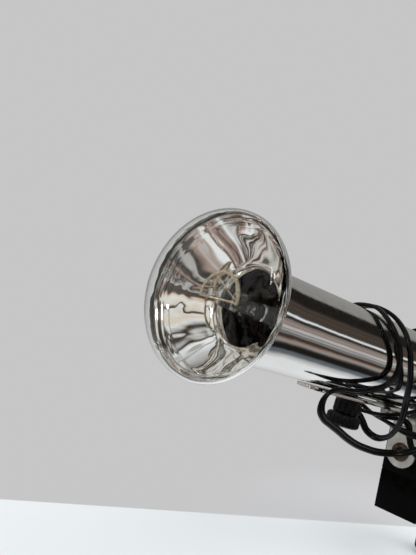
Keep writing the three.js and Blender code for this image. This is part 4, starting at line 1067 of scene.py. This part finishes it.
@dataclass
class Studio:
    """The camera, the pale floor, the grey wall behind and the soft room light.

    The camera's place and the floor's level are in millimetres, the rest in metres. The wall's tone starts and is
    full at wall_edge along wall_way, and it hides the lamp's shadows from wall_clear on. Polished surfaces show the
    room as it is laid out round the point tube, and the lamps point at aim.
    """

    eye: Point = (-571.9, -248.8, 146.3)
    right: Point = (0.6957, -0.698, 0.1698)
    down: Point = (0.0573, -0.1817, -0.9818)
    forward: Point = (0.716, 0.6927, -0.0864)
    lens: float = 46.7
    floor_level: float = -101.0
    wall_way: Point = (0.5264, 0.8504, 0.0)
    wall_edge: Pair = (0.0478, 0.0498)
    wall_clear: Pair = (0.1, 0.22)
    tube: Point = (-0.2, 0.0035, 0.09)
    aim: Point = (-0.12, 0.0, 0.05)
    wall: Colour = screen(198, 198, 199)
    table: Colour = screen(225, 229, 230)
    light: Colour = (0.86, 0.87, 0.89)

    def camera(self) -> None:
        """Places the camera where the photograph was taken from."""
        data = bpy.data.cameras.new("camera")
        data.lens, data.sensor_width, data.clip_start = self.lens, 36.0, 0.01
        eye = Bench.place("camera", data)
        turn = Matrix((self.right, [-v for v in self.down], [-v for v in self.forward])).transposed()
        turn = turn.to_quaternion().normalized().to_matrix().to_4x4()
        eye.matrix_world = Matrix.Translation(Vector(self.eye) * MM) @ turn
        bpy.context.scene.camera = eye

    @staticmethod
    def ring(wiring: Nodes, share: Socket, tones: list[tuple[float, Tone]]) -> Socket:
        """Paints the room round the tube's line: tones by degrees above the side that faces the camera."""
        return wiring.ramp(share, [(degrees / 360 + 0.5, tone.value) for degrees, tone in tones])

    @classmethod
    def bands(cls, wiring: Nodes, way: Socket) -> Socket:
        """Colours the room that polished metal shows, by the height seen from the tube.

        Args:
            wiring: The tree to add to.
            way: The direction from the tube.

        Returns:
            The room's colour.
        """
        way = wiring.vector("NORMALIZE", n_0=way)
        ahead = wiring.vector("DOT_PRODUCT", n_0=way, n_1=(-math.cos(TILT), 0.0, math.sin(TILT)))
        up = wiring.vector("DOT_PRODUCT", n_0=way, n_1=(math.sin(TILT), 0.0, math.cos(TILT)))
        near = wiring.vector("DOT_PRODUCT", n_0=way, n_1=(0.0, -1.0, 0.0))
        wave = wiring.maths("SUBTRACT", wiring.noise(way, 3.0, 4.0, 0.6), 0.5)
        turn = wiring.maths("ADD", wiring.maths("ARCTAN2", up, near), wiring.maths("MULTIPLY", wave, 0.16))
        share = wiring.maths("ADD", wiring.maths("MULTIPLY", turn, 0.5 / math.pi), 0.5)
        behind = cls.ring(wiring, share, [
            (-180, Tone.GREY), (-150, Tone.SILVER), (-110, Tone.WHITE), (-76, Tone.WHITE), (-66, Tone.SILVER),
            (-60, Tone.SLATE), (-54, Tone.SLATE), (-50, Tone.DARK), (-40, Tone.DARK), (-33, Tone.GREY),
            (-29, Tone.TAN), (-24, Tone.BROWN), (-20, Tone.BROWN), (-14, Tone.GREY), (-4, Tone.SILVER),
            (6, Tone.TAN), (11, Tone.GREY), (14, Tone.BROWN), (20, Tone.DARK), (22, Tone.WHITE),
            (25, Tone.WHITE), (28, Tone.BROWN), (50, Tone.BROWN), (58, Tone.DARK), (86, Tone.DARK),
            (92, Tone.GREY), (180, Tone.GREY),
        ])
        line = wiring.add("ShaderNodeCombineXYZ", None, n_0=share).outputs[0]
        fine = wiring.span(wiring.noise(line, 60.0, 3.0), 0.5, 0.6, 0.0, 0.6)
        ends = wiring.span(share, 0.33, 0.37), wiring.span(share, 0.73, 0.76, 1.0, 0.0)
        behind = wiring.blend(wiring.maths("MULTIPLY", fine, *ends), behind, Tone.DARK.value)
        wave = wiring.maths("SUBTRACT", wiring.noise(way, 3.0, 2.0), 0.5)
        share = wiring.maths("ADD", share, wiring.maths("MULTIPLY", wave, 0.2))
        below = cls.ring(wiring, share, [
            (-180, Tone.SILVER), (-150, Tone.GREY), (-142, Tone.BROWN), (-135, Tone.WHITE), (-128, Tone.TAN),
            (-121, Tone.BROWN), (-117, Tone.SILVER), (-110, Tone.WHITE), (-104, Tone.SILVER), (-99, Tone.TAN),
            (-93, Tone.DARK), (-88, Tone.TAN), (-84, Tone.WHITE), (-79, Tone.WHITE), (-76, Tone.SILVER),
            (-71, Tone.TAN), (-67, Tone.SILVER), (-62, Tone.TAN), (-57, Tone.BROWN), (-51, Tone.DARK),
            (-46, Tone.BROWN), (-43, Tone.SILVER), (-39, Tone.GREY), (-35, Tone.DARK), (-28, Tone.BROWN),
            (-23, Tone.TAN), (-17, Tone.DARK), (-10, Tone.GREY), (-6, Tone.SILVER), (-3, Tone.BROWN),
            (4, Tone.BROWN),
        ])
        above = cls.ring(wiring, share, [
            (4, Tone.BROWN), (13, Tone.BROWN), (17, Tone.TAN), (23, Tone.CREAM), (34, Tone.WHITE),
            (42, Tone.CREAM), (45, Tone.BROWN), (48, Tone.BROWN), (51, Tone.WHITE), (62, Tone.CREAM),
            (74, Tone.WHITE), (82, Tone.SILVER), (86, Tone.GREY), (89, Tone.BROWN), (92, Tone.DARK),
            (95, Tone.SILVER), (100, Tone.WHITE), (106, Tone.WHITE), (109, Tone.GREY), (113, Tone.WHITE),
            (150, Tone.WHITE), (180, Tone.SILVER),
        ])
        in_front = wiring.blend(wiring.span(share, 0.5, 0.501), below, above)
        return wiring.blend(wiring.span(ahead, 0.2, 0.4), behind, in_front)

    @staticmethod
    def sight(wiring: Nodes) -> tuple[Socket, Socket]:
        """Tells what is seen straight, or through clear glass, from what a polished surface shows.

        Args:
            wiring: The tree to add to.

        Returns:
            Two masks: seen, and mirrored.
        """
        path = wiring.add("ShaderNodeLightPath").outputs
        unturned = wiring.maths("LESS_THAN", path["Glossy Depth"], 0.5)
        through = wiring.maths("MULTIPLY", path["Is Transmission Ray"], unturned)
        seen = wiring.maths("MAXIMUM", path["Is Camera Ray"], through)
        return seen, wiring.maths("MULTIPLY", path["Is Glossy Ray"], wiring.maths("SUBTRACT", 1.0, seen))

    def world(self) -> None:
        """Lights the room softly, with a plain grey wall for the camera."""
        world = bpy.data.worlds.new("room")
        bpy.context.scene.world = world
        world.use_nodes = True
        wiring = Nodes(world.node_tree)
        way = wiring.add("ShaderNodeTexCoord").outputs["Generated"]
        seen, mirrored = self.sight(wiring)
        colour = wiring.blend(mirrored, wiring.blend(seen, self.light, self.wall), self.bands(wiring, way))
        wiring.join(colour, world.node_tree.nodes["Background"].inputs["Color"])

    def floor(self) -> None:
        """Lays the pale floor, which turns into the grey wall behind the lamp."""
        Bench.clear()
        bpy.ops.mesh.primitive_plane_add(size=6.0, location=(0, 0, self.floor_level * MM))
        floor = bpy.context.object
        floor.name = "floor"
        material = bpy.data.materials.new("pale_floor")
        material.use_nodes = True
        floor.data.materials.append(material)
        wiring = Nodes(material.node_tree)
        shader = material.node_tree.nodes["Principled BSDF"]
        shader.inputs["Roughness"].default_value = 0.6
        spot = wiring.add("ShaderNodeNewGeometry").outputs["Position"]
        beyond = wiring.span(wiring.vector("DOT_PRODUCT", n_0=spot, n_1=self.wall_way), *self.wall_edge)
        wiring.join(wiring.blend(beyond, self.table, self.wall), shader.inputs["Base Color"])
        far = wiring.span(wiring.vector("LENGTH", n_0=spot), *self.wall_clear)
        seen, mirrored = self.sight(wiring)
        room = self.bands(wiring, wiring.vector("SUBTRACT", n_0=spot, n_1=self.tube))
        glow = wiring.add("ShaderNodeEmission", None, Color=wiring.blend(mirrored, self.wall, room)).outputs[0]
        share = wiring.maths("MAXIMUM", wiring.maths("MULTIPLY", far, seen, beyond), mirrored)
        mix = wiring.add("ShaderNodeMixShader", None, n_0=share, n_1=shader.outputs[0], n_2=glow)
        wiring.join(mix.outputs[0], material.node_tree.nodes["Material Output"].inputs["Surface"])

    def lamps(self) -> None:
        """Hangs three large soft lights round the lamp, and two slim panes that gleam on the glass."""
        for name, place, size, power in (
            ("window", (0.3, -2.2, 2.4), (2.2, 2.2), 32.0),
            ("fill", (-1.3, -1.3, 1.3), (1.7, 1.7), 6.0),
            ("back", (0.7, 1.1, 1.3), (1.3, 1.3), 10.0),
            ("pane_left", (-1.0, -1.12, 1.3), (0.06, 0.6), 4.0),
            ("pane_right", (-0.84, -1.24, 1.25), (0.05, 0.36), 2.2),
        ):
            data = bpy.data.lights.new(name, "AREA")
            data.shape, data.size, data.size_y, data.energy = "RECTANGLE", *size, power
            light = Bench.place(name, data)
            light.location = place
            light.rotation_euler = (Vector(self.aim) - Vector(place)).to_track_quat("-Z", "Y").to_euler()
            light.visible_glossy = light.visible_transmission = name.startswith("pane")
            light.visible_diffuse = not name.startswith("pane")

    def build(self) -> None:
        """Sets up the room."""
        self.world()
        self.floor()
        self.lamps()
        bpy.context.scene.view_settings.view_transform = "Standard"


@dataclass
class Bulb:
    """The reflector bulb: clear front, silvered flare, stem, wires and a coiled filament.

    Sizes are in millimetres, and places are along the tube's line. The coat is the silvering's thickness and its
    distance from the glass. Leads and props are the radii of the outer and the inner wires, and support has their
    points as radius and place. The filament's end is in degrees from straight up.
    """

    equator: float = -190.0
    radius: float = 46.5
    dome: float = 22.0
    dome_steps: int = 18
    wall: float = 0.9
    coat: float = 0.3
    coated: Pair = (-192.0, -130.0)
    coil_radius: float = 0.8
    coil_wire: float = 0.2
    coil_turns: int = 70
    coil_steps: int = 10
    filament_radius: float = 13.0
    filament_at: float = -187.0
    filament_end: float = 98.0
    leads: float = 0.7
    props: float = 0.45
    support: tuple[Pair, ...] = ((1.4, -169.5), (2.2, -173.0), (5.5, -178.0), (10.5, -183.5))
    flare: Profile = field(default_factory=lambda: [
        (-190, 46.5), (-188, 45.8), (-184.5, 43), (-179.5, 38.2), (-174, 32.4), (-169.5, 27.4), (-166, 23.8),
        (-160, 21), (-150, 18.8), (-138, 17.4), (-126, 16), (-116, 13.8), (-111.8, 12.35), (-108.5, 12.3),
    ])

    def outline(self, inset: float) -> Profile:
        """Draws the glass from the middle of its front to its neck.

        Args:
            inset: How far inside the outer surface.

        Returns:
            The profile.
        """
        profile = []
        for k in range(self.dome_steps):
            angle = k * math.pi / 2 / self.dome_steps
            s, r = self.equator - (self.dome - inset) * math.cos(angle), (self.radius - inset) * math.sin(angle)
            profile.append((s, r))
        curve = smooth_line([Vector((s, r - inset, 0)) for s, r in self.flare], 2.6)
        return profile + [(p.x, p.y) for p in curve]

    def glass(self) -> None:
        """Blows the glass as one thin wall, open at the neck."""
        piece = Bench.turned("bulb_envelope", self.outline(0.0) + self.outline(self.wall)[::-1], 96)
        Bench.deliver(piece, LIGHT @ ALONG_X, Body.HEAD, "glass", "bulb_glass", angle=60)

    def mirror(self) -> None:
        """Silvers the inside of the flare, with an uneven front edge."""
        start, end = self.coated
        front = [p for p in self.outline(self.wall + self.coat) if start < p[0] < end]
        back = [(s, r - self.coat) for s, r in front]
        piece = Bench.turned("silvered_flare", front + back[::-1] + [front[0]], 144)
        edge = min(s for s, _ in front) + 0.05
        for vertex in piece.data.vertices:
            if vertex.co.z < edge * MM:
                angle = math.atan2(vertex.co.y, vertex.co.x)
                jag = 0.5 * math.sin(5 * angle) + 0.35 * math.sin(13 * angle + 1) + 0.3 * math.sin(31 * angle + 2)
                vertex.co.z += jag * MM
        Bench.deliver(piece, LIGHT @ ALONG_X, Body.HEAD, "mirror", "bulb_mirror", angle=70)

    @staticmethod
    def wire(name: str, points: list[Vector], radius: float) -> Piece:
        """Draws a wire as a curve and makes it a mesh.

        Args:
            name: The piece's name.
            points: Its line in millimetres, in the bulb's frame.
            radius: Its radius in millimetres.

        Returns:
            The piece, in place.
        """
        data = bpy.data.curves.new(name, "CURVE")
        data.dimensions, data.use_fill_caps = "3D", True
        data.bevel_depth, data.bevel_resolution = radius * MM, 1
        spline = data.splines.new("POLY")
        spline.points.add(len(points) - 1)
        for spot, point in zip(spline.points, points):
            spot.co = (*(LIGHT @ (point * MM)), 1.0)
        Bench.place(name, data)
        bpy.ops.object.convert(target="MESH")
        bpy.ops.object.shade_smooth()
        return bpy.context.object

    @staticmethod
    def on_arc(angle: float, radius: float, s: float) -> Vector:
        """Places a point at an angle round the bulb's line, from straight up."""
        return Vector((s, radius * math.sin(angle), radius * math.cos(angle)))

    def filament(self) -> None:
        """Coils the filament and bends the wires that hold it."""
        end = math.radians(self.filament_end)
        line = []
        count = self.coil_turns * self.coil_steps
        for k in range(count + 1):
            turn = 2 * math.pi * k / self.coil_steps
            radius = self.filament_radius + self.coil_radius * math.cos(turn)
            s = self.filament_at + self.coil_radius * math.sin(turn)
            line.append(self.on_arc(end - 2 * end * (k / count), radius, s))
        parts = [self.wire("filament_coil", line, self.coil_wire)]
        tip = (self.filament_radius, self.filament_at - 0.4)
        for i, angle in enumerate((-end, -end / 3, end / 3, end)):
            line = smooth_line([self.on_arc(angle, radius, s) for radius, s in (*self.support, tip)], 0.6)
            parts.append(self.wire(f"support_{i}", line, self.leads if i in (0, 3) else self.props))
        Bench.take(*parts)
        bpy.ops.object.join()
        Bench.finish(parts[0], Body.HEAD, "tungsten", "filament")

    def build(self) -> None:
        """Makes the bulb's pieces."""
        self.glass()
        self.mirror()
        self.filament()
        stem = Bench.refine("glass_stem", "stem_press", Body.HEAD, "glass", angle=50)
        pressed = ClearGlass(title="pressed_glass", ior=1.45, wave=(130.0, 0.0016), clear=0.94)
        stem.material_slots[0].material = pressed.material()


@dataclass
class Head:
    """The chromed tube with its strap, rear cap and cord grip, with sizes in millimetres."""

    outer: float = 28.0
    inner: float = 27.0
    front: float = -166.0
    rear: float = 60.0
    half: float = 10.0
    strap_from: float = -89.5
    strap_to: float = 44.0
    strap_top: float = -29.3
    strap_under: float = -31.3
    switch_at: float = -34.0
    screw_at: float = 25.0

    def drills(self, low: float, high: float) -> list[Piece]:
        """Sets up the drills for the switch and the strap's screw.

        Args:
            low: Their lower end in millimetres.
            high: Their upper end in millimetres.

        Returns:
            The drills, round the tube's line.
        """
        holes = ((self.switch_at, SWITCH_HOLE), (self.screw_at, SCREW_HOLE))
        return [
            Bench.settle(Bench.rod("drill", low, high, radius, 32), Matrix.Translation((s * MM, 0, 0)))
            for s, radius in holes
        ]

    def tube(self) -> None:
        """Draws the tube, rolls its front edge and drills it for the switch and the screw."""
        front, outer, inner, rear = self.front, self.outer, self.inner, self.rear
        lip = [
            (front + 1.0, outer), (front + 0.4, outer - 0.12), (front, outer - 0.42), (front, inner + 0.35),
            (front + 0.5, inner),
        ]
        steps = [(front + 1.0 + (rear - front - 1.0) * k / 12, outer) for k in range(12, 0, -1)]
        piece = Bench.turned("tube_shell", [(rear, inner), *steps, *lip, (rear, inner)], 160)
        Bench.settle(piece, ALONG_X)
        Bench.combine(piece, Fit.CUT, *self.drills(-33, -24))
        Bench.deliver(piece, HEAD, Body.HEAD, "chrome", "lamp_tube", angle=40)

    def strap(self) -> None:
        """Cuts the strap, rolls its eye and drills it."""
        start, end, h = self.strap_from, self.strap_to, self.half
        rounds = [(start, -h, h), (start, h, h), (end, -h, 2.5), (end, h, 2.5)]
        piece = Bench.plate("strap_bar", (start, -h, self.strap_under), (end, h, self.strap_top), rounds, 16)
        tongue = Bench.plate("tongue", (40, -4.4, self.strap_under), (51.4, 4.4, self.strap_top))
        hinge = Matrix.Translation((0.0514, 0, -0.0338)) @ ALONG_Y
        eye = Bench.settle(Bench.eye(-4.4, 4.4), hinge)
        Bench.combine(piece, Fit.ADD, tongue)
        bore = Bench.settle(Bench.rod("bore", -6, 6, EYE_BORE), hinge)
        Bench.combine(piece, Fit.CUT, bore, *self.drills(-35, -27))
        Bench.combine(piece, Fit.ADD, eye)
        Bench.deliver(piece, HEAD, Body.HEAD, "chrome", "strap", width=0.3, steps=3)

    def cap(self) -> None:
        """Turns the rear cap and the ringed cord grip behind it."""
        profile = [
            (52, 26.7), (60.3, 26.7), (60.3, 27.6), (60.7, 28), (61.9, 28), (62.4, 27.8), (64, 26.6),
            (66, 24.4), (68, 21), (69.4, 17), (70.1, 13), (70.3, 9), (70.3, 5.3), (68.3, 5.3), (68.3, 13),
            (66.7, 16), (62.3, 24.7), (52, 24.7), (52, 26.7),
        ]
        piece = Bench.turned("end_cap", profile, 96)
        Bench.deliver(piece, HEAD @ ALONG_X, Body.HEAD, "black_plastic", "rear_cap", angle=32)
        profile = [(73.9, 5.3), (73.9, 7.1), (74.3, 7.5), (82.4, 7.5), (82.9, 7.1), (83.6, 5.8)]
        for k in range(5):
            at, r = 84.2 + k * 2.0, 5.5 - k * 0.42
            profile += [(at, r), (at + 1.0, r - 0.1), (at + 1.25, r - 0.9), (at + 1.75, r - 0.95)]
        profile += [(94.3, 3.4), (94.3, 2.7), (80.3, 2.7), (80.3, 5.3), (73.9, 5.3)]
        piece = Bench.turned("ringed_grip", profile, 64)
        Bench.deliver(piece, LIGHT @ ALONG_X, Body.HEAD, "black_plastic", "cord_grip", angle=40)

    def fixings(self) -> None:
        """Breaks the edges of the screw under the strap and the nut and washers at the tube's ends."""
        screw = Bench.refine("strap_screw", "pan_screw", Body.HEAD, "steel", width=0.2)
        slot = Bench.plate("slot", (-4, -0.45, -36), (4, 0.45, -33.2))
        Bench.settle(slot, HEAD @ Matrix.Translation((self.screw_at * MM, 0, 0)))
        Bench.combine(screw, Fit.CUT, slot)
        Bench.refine("cap_nut_outside", "lock_nut", Body.HEAD, "zinc", width=0.15)
        for end in ("front", "rear"):
            Bench.refine(f"spacer_{end}", f"washer_{end}", Body.HEAD, "fibre", width=0.15)

    def build(self) -> None:
        """Makes the head's pieces."""
        self.tube()
        self.strap()
        self.cap()
        self.fixings()


@dataclass
class Switch:
    """The rotary switch: ribbed body and fluted knob, with sizes in millimetres."""

    at: float = -34.0
    neck: float = 8.7
    ribs: int = 12
    radius: float = 11.3
    flutes: int = 20

    def body(self) -> None:
        """Turns the body, presses its ribs and adds the block where both cords go in."""
        profile = [
            (-41.6, 0), (-41.6, 7.8), (-41.2, 8.3), (-40.6, self.neck), (-34.2, self.neck), (-33.6, 8.5),
            (-33.2, 8.6), (-32.9, 9), (-31.9, 9), (-31.6, 8.7), (-31.6, 5), (-22.1, 5), (-22.1, 0),
        ]
        piece = Bench.turned("switch_housing", profile, self.ribs * 6)
        Bench.flute(piece, self.ribs, -40.9, -33.9, 8.4, 0.88)
        entry = Bench.plate("entry", (0, -6.6, -40), (8.8, 6.6, -33.6), [(8.8, -6.6, 1.5), (8.8, 6.6, 1.5)], 5)
        Bench.combine(piece, Fit.ADD, entry)
        place = HEAD @ Matrix.Translation((self.at * MM, 0, 0))
        Bench.deliver(piece, place, Body.HEAD, "black_plastic", "switch_body", width=0.25)

    def knob(self) -> None:
        """Turns the knob and presses its flutes."""
        r = self.radius
        profile = [
            (-50.4, 0), (-50.4, 8.4), (-50.1, 9.4), (-49.6, r - 0.9), (-49.0, r - 0.3), (-48.4, r), (-43.6, r),
            (-43.0, r - 0.3), (-42.4, r - 0.9), (-41.9, 9.6), (-41.9, 0),
        ]
        piece = Bench.turned("fluted_knob", profile, self.flutes * 6)
        Bench.flute(piece, self.flutes, -49.1, -42.9, 10.4, 0.955)
        place = HEAD @ Matrix.Translation((self.at * MM, 0, 0))
        Bench.deliver(piece, place, Body.KNOB, "black_plastic", "switch_knob", angle=40)

    def build(self) -> None:
        """Makes the switch's pieces."""
        self.body()
        self.knob()


@dataclass
class Bracket:
    """The swivel plate with its rolled eyes, the hinge's bolt and nut, and the hollow rivet.

    Sizes are in millimetres. The shoulder and the pivot are heights over the rivet.
    """

    half: float = 12.0
    shoulder: float = 19.0
    thick: float = 2.0
    pivot: float = 28.2
    eyes: Pair = (4.8, 10.5)

    def plate(self) -> None:
        """Cuts the plate, rounds its foot, rolls its eyes and drills it."""
        h, top = self.half, self.shoulder
        rounds = [(-h, -h, h), (h, -h, h), (-h, top, 1.5), (h, top, 1.5)]
        piece = Bench.plate("upright_plate", (-h, -h, 0), (h, top, self.thick), rounds, 16)
        near, far = self.eyes
        sides = ((-far, -near), (near, far))
        ears = [Bench.plate("ear", (low, 15, 0), (high, self.pivot - 0.6, self.thick)) for low, high in sides]
        Bench.combine(piece, Fit.ADD, *ears)
        Bench.settle(piece, UPRIGHT)
        hinge = Matrix.Translation((-0.0025, 0, self.pivot * MM)) @ ALONG_Y
        bores = [
            Bench.settle(Bench.rod("bore", -14, 14, EYE_BORE), hinge),
            Bench.settle(Bench.rod("bore", -3, 5, 4.8), ALONG_X),
        ]
        Bench.combine(piece, Fit.CUT, *bores)
        Bench.combine(piece, Fit.ADD, *[Bench.settle(Bench.eye(low, high), hinge) for low, high in sides])
        Bench.deliver(piece, SWIVEL, Body.BRACKET, "zinc", "swivel_plate", width=0.25)

    def hinge(self) -> None:
        """Breaks the edges of the hinge's bolt, washers and nut."""
        for name in ("bolt", "nut", "washer_near", "washer_far"):
            Bench.refine(f"tilt_{name}", f"hinge_{name}", Body.BRACKET, "steel", width=0.2)

    def rivet(self) -> None:
        """Turns the hollow rivet with its rolled front and rear flanges."""
        profile = [
            (-0.3, 4.6), (-0.3, 6.6), (-0.5, 7), (-0.8, 7), (-1.1, 6.5), (-1.3, 5.6), (-1.3, 5.0), (-1.15, 4.3),
            (-0.8, 3.8), (-0.2, 3.45), (0.6, 3.4), (14.7, 3.4), (14.7, 5.6), (14.3, 6.4), (13.7, 6.4),
            (13.7, 4.6), (-0.3, 4.6),
        ]
        piece = Bench.turned("hollow_rivet", profile, 64)
        Bench.deliver(piece, SWIVEL @ ALONG_X, Body.CLAMP, "brass", "swivel_rivet", angle=40)

    def build(self) -> None:
        """Makes the bracket's pieces."""
        self.plate()
        self.hinge()
        self.rivet()


@dataclass
class Clamp:
    """The clamp: glossy front block, bent frame, pads, screw, foot and knob.

    Sizes are in millimetres: the block's with its seam and groove, then the screw's thread, whose rings are drawn in
    rows.
    """

    half: float = 17.7
    above: float = 18.0
    below: float = -49.0
    front: float = 3.1
    thick: float = 6.0
    seam: Pair = (-18.4, -17.6)
    groove: float = 0.45
    threaded: Pair = (-89.6, -27.6)
    core: float = 5.0
    depth: float = 0.75
    pitch: float = 2.0
    rows: float = 0.4

    def block(self) -> None:
        """Moulds the front block with its rounded top corners and the seam across its front."""
        h, front, back = self.half, self.front, self.front + self.thick
        rounds = [(-h, self.above, 4), (h, self.above, 4)]
        piece = Bench.plate("glossy_block", (-h, self.below, front), (h, self.above, back), rounds, 10)
        low, high = self.seam
        seam = Bench.plate("seam", (-h - 1, low, front - 1), (h + 1, high, front + self.groove))
        hole = Bench.settle(Bench.rod("hole", 0, 12, 4.8), Matrix.Translation((0.0035, 0, 0)))
        Bench.combine(piece, Fit.CUT, seam, hole)
        Bench.settle(piece, UPRIGHT)
        Bench.deliver(piece, CLAMP, Body.CLAMP, "black_gloss", "front_block", width=0.5, steps=3)

    def screw(self) -> None:
        """Turns the clamp screw and cuts its thread at its real pitch."""
        (low, high), core = self.threaded, self.core
        rows = [(low + self.rows * k, core) for k in range(int((high - low) / self.rows) + 1)]
        tip = [(high + 0.01, 3.8), (high + 4.4, 3.8), (high + 5.0, 3.2), (high + 5.0, 0)]
        piece = Bench.turned("threaded_screw", [(low - 0.01, 0), (low, core - 1), *rows, *tip], 32)
        for vertex in piece.data.vertices:
            x, y, z = vertex.co
            flat = math.hypot(x, y)
            if flat > (core - 0.1) * MM and low * MM < z < high * MM:
                phase = (z / (self.pitch * MM) - math.atan2(y, x) / (2 * math.pi)) % 1.0
                cut = self.depth * min(1.0, 2.2 * abs(phase - 0.5)) * MM
                vertex.co.x *= (flat - cut) / flat
                vertex.co.y *= (flat - cut) / flat
        Bench.deliver(piece, SCREW, Body.SCREW, "zinc", "clamp_screw", angle=60)

    def knob(self) -> None:
        """Turns the clamp's knob with a hub, a domed end and deep grips."""
        low, high, r = -92.6, -78.6, 10.0
        profile = [
            (low, 0), (low, 7.4), (low + 0.5, 8.6), (low + 1.3, 9.5), (low + 2.4, r), (high - 3.4, r),
            (high - 2.2, 9.6), (high - 1.4, 8.8), (high - 0.9, 7.6), (high - 0.3, 7.2), (high, 6.8), (high, 5.3),
            (high - 10.7, 5.3), (high - 10.7, 0),
        ]
        piece = Bench.turned("grip_knob", profile, 60)
        Bench.flute(piece, 10, low + 1.0, high - 2.0, 9.0, 0.9)
        Bench.deliver(piece, SCREW, Body.SCREW, "black_plastic", "clamp_knob", width=0.3, angle=30)

    def rest(self) -> None:
        """Breaks the edges of the frame, the pads, the nut, the foot and the block's screws."""
        for node, name, body, slot, width in (
            ("clamp_frame", "bent_frame", Body.CLAMP, "black_paint", 0.8),
            ("upper_jaw_pad", "jaw_pad", Body.CLAMP, "rubber", 0.6),
            ("clamp_nut", "pressed_nut", Body.CLAMP, "steel", 0.3),
            ("block_screw_near", "rear_screw_near", Body.CLAMP, "steel", 0.15),
            ("block_screw_far", "rear_screw_far", Body.CLAMP, "steel", 0.15),
            ("friction_washer", "swivel_washer", Body.CLAMP, "fibre", 0.1),
            ("clamp_foot", "swivel_foot", Body.FOOT, "steel", 0.35),
            ("foot_pad", "rubber_face", Body.FOOT, "rubber", 0.3),
        ):
            Bench.refine(node, name, body, slot, width=width, steps=3)

    def build(self) -> None:
        """Makes the clamp's pieces."""
        self.block()
        self.screw()
        self.knob()
        self.rest()


def dress_solids() -> None:
    """Gives each solid that still shows the finish of its slot."""
    slots = {part["node"]: part["material_slot"] for part in frame["record"]["subparts"]}
    for name, node in frame["nodes"].items():
        node.data.materials.clear()
        node.data.materials.append(FINISHES[slots[name]].material())


def main() -> None:
    """Builds the lamp and its surroundings."""
    logging.basicConfig(level=logging.INFO, format="%(message)s")
    studio = Studio()
    studio.camera()
    Cords().build()
    studio.build()
    for part in (Bulb(), Head(), Switch(), Bracket(), Clamp()):
        part.build()
        log.info("%s is done", type(part).__name__)
    dress_solids()


if __name__ == "__main__":
    main()
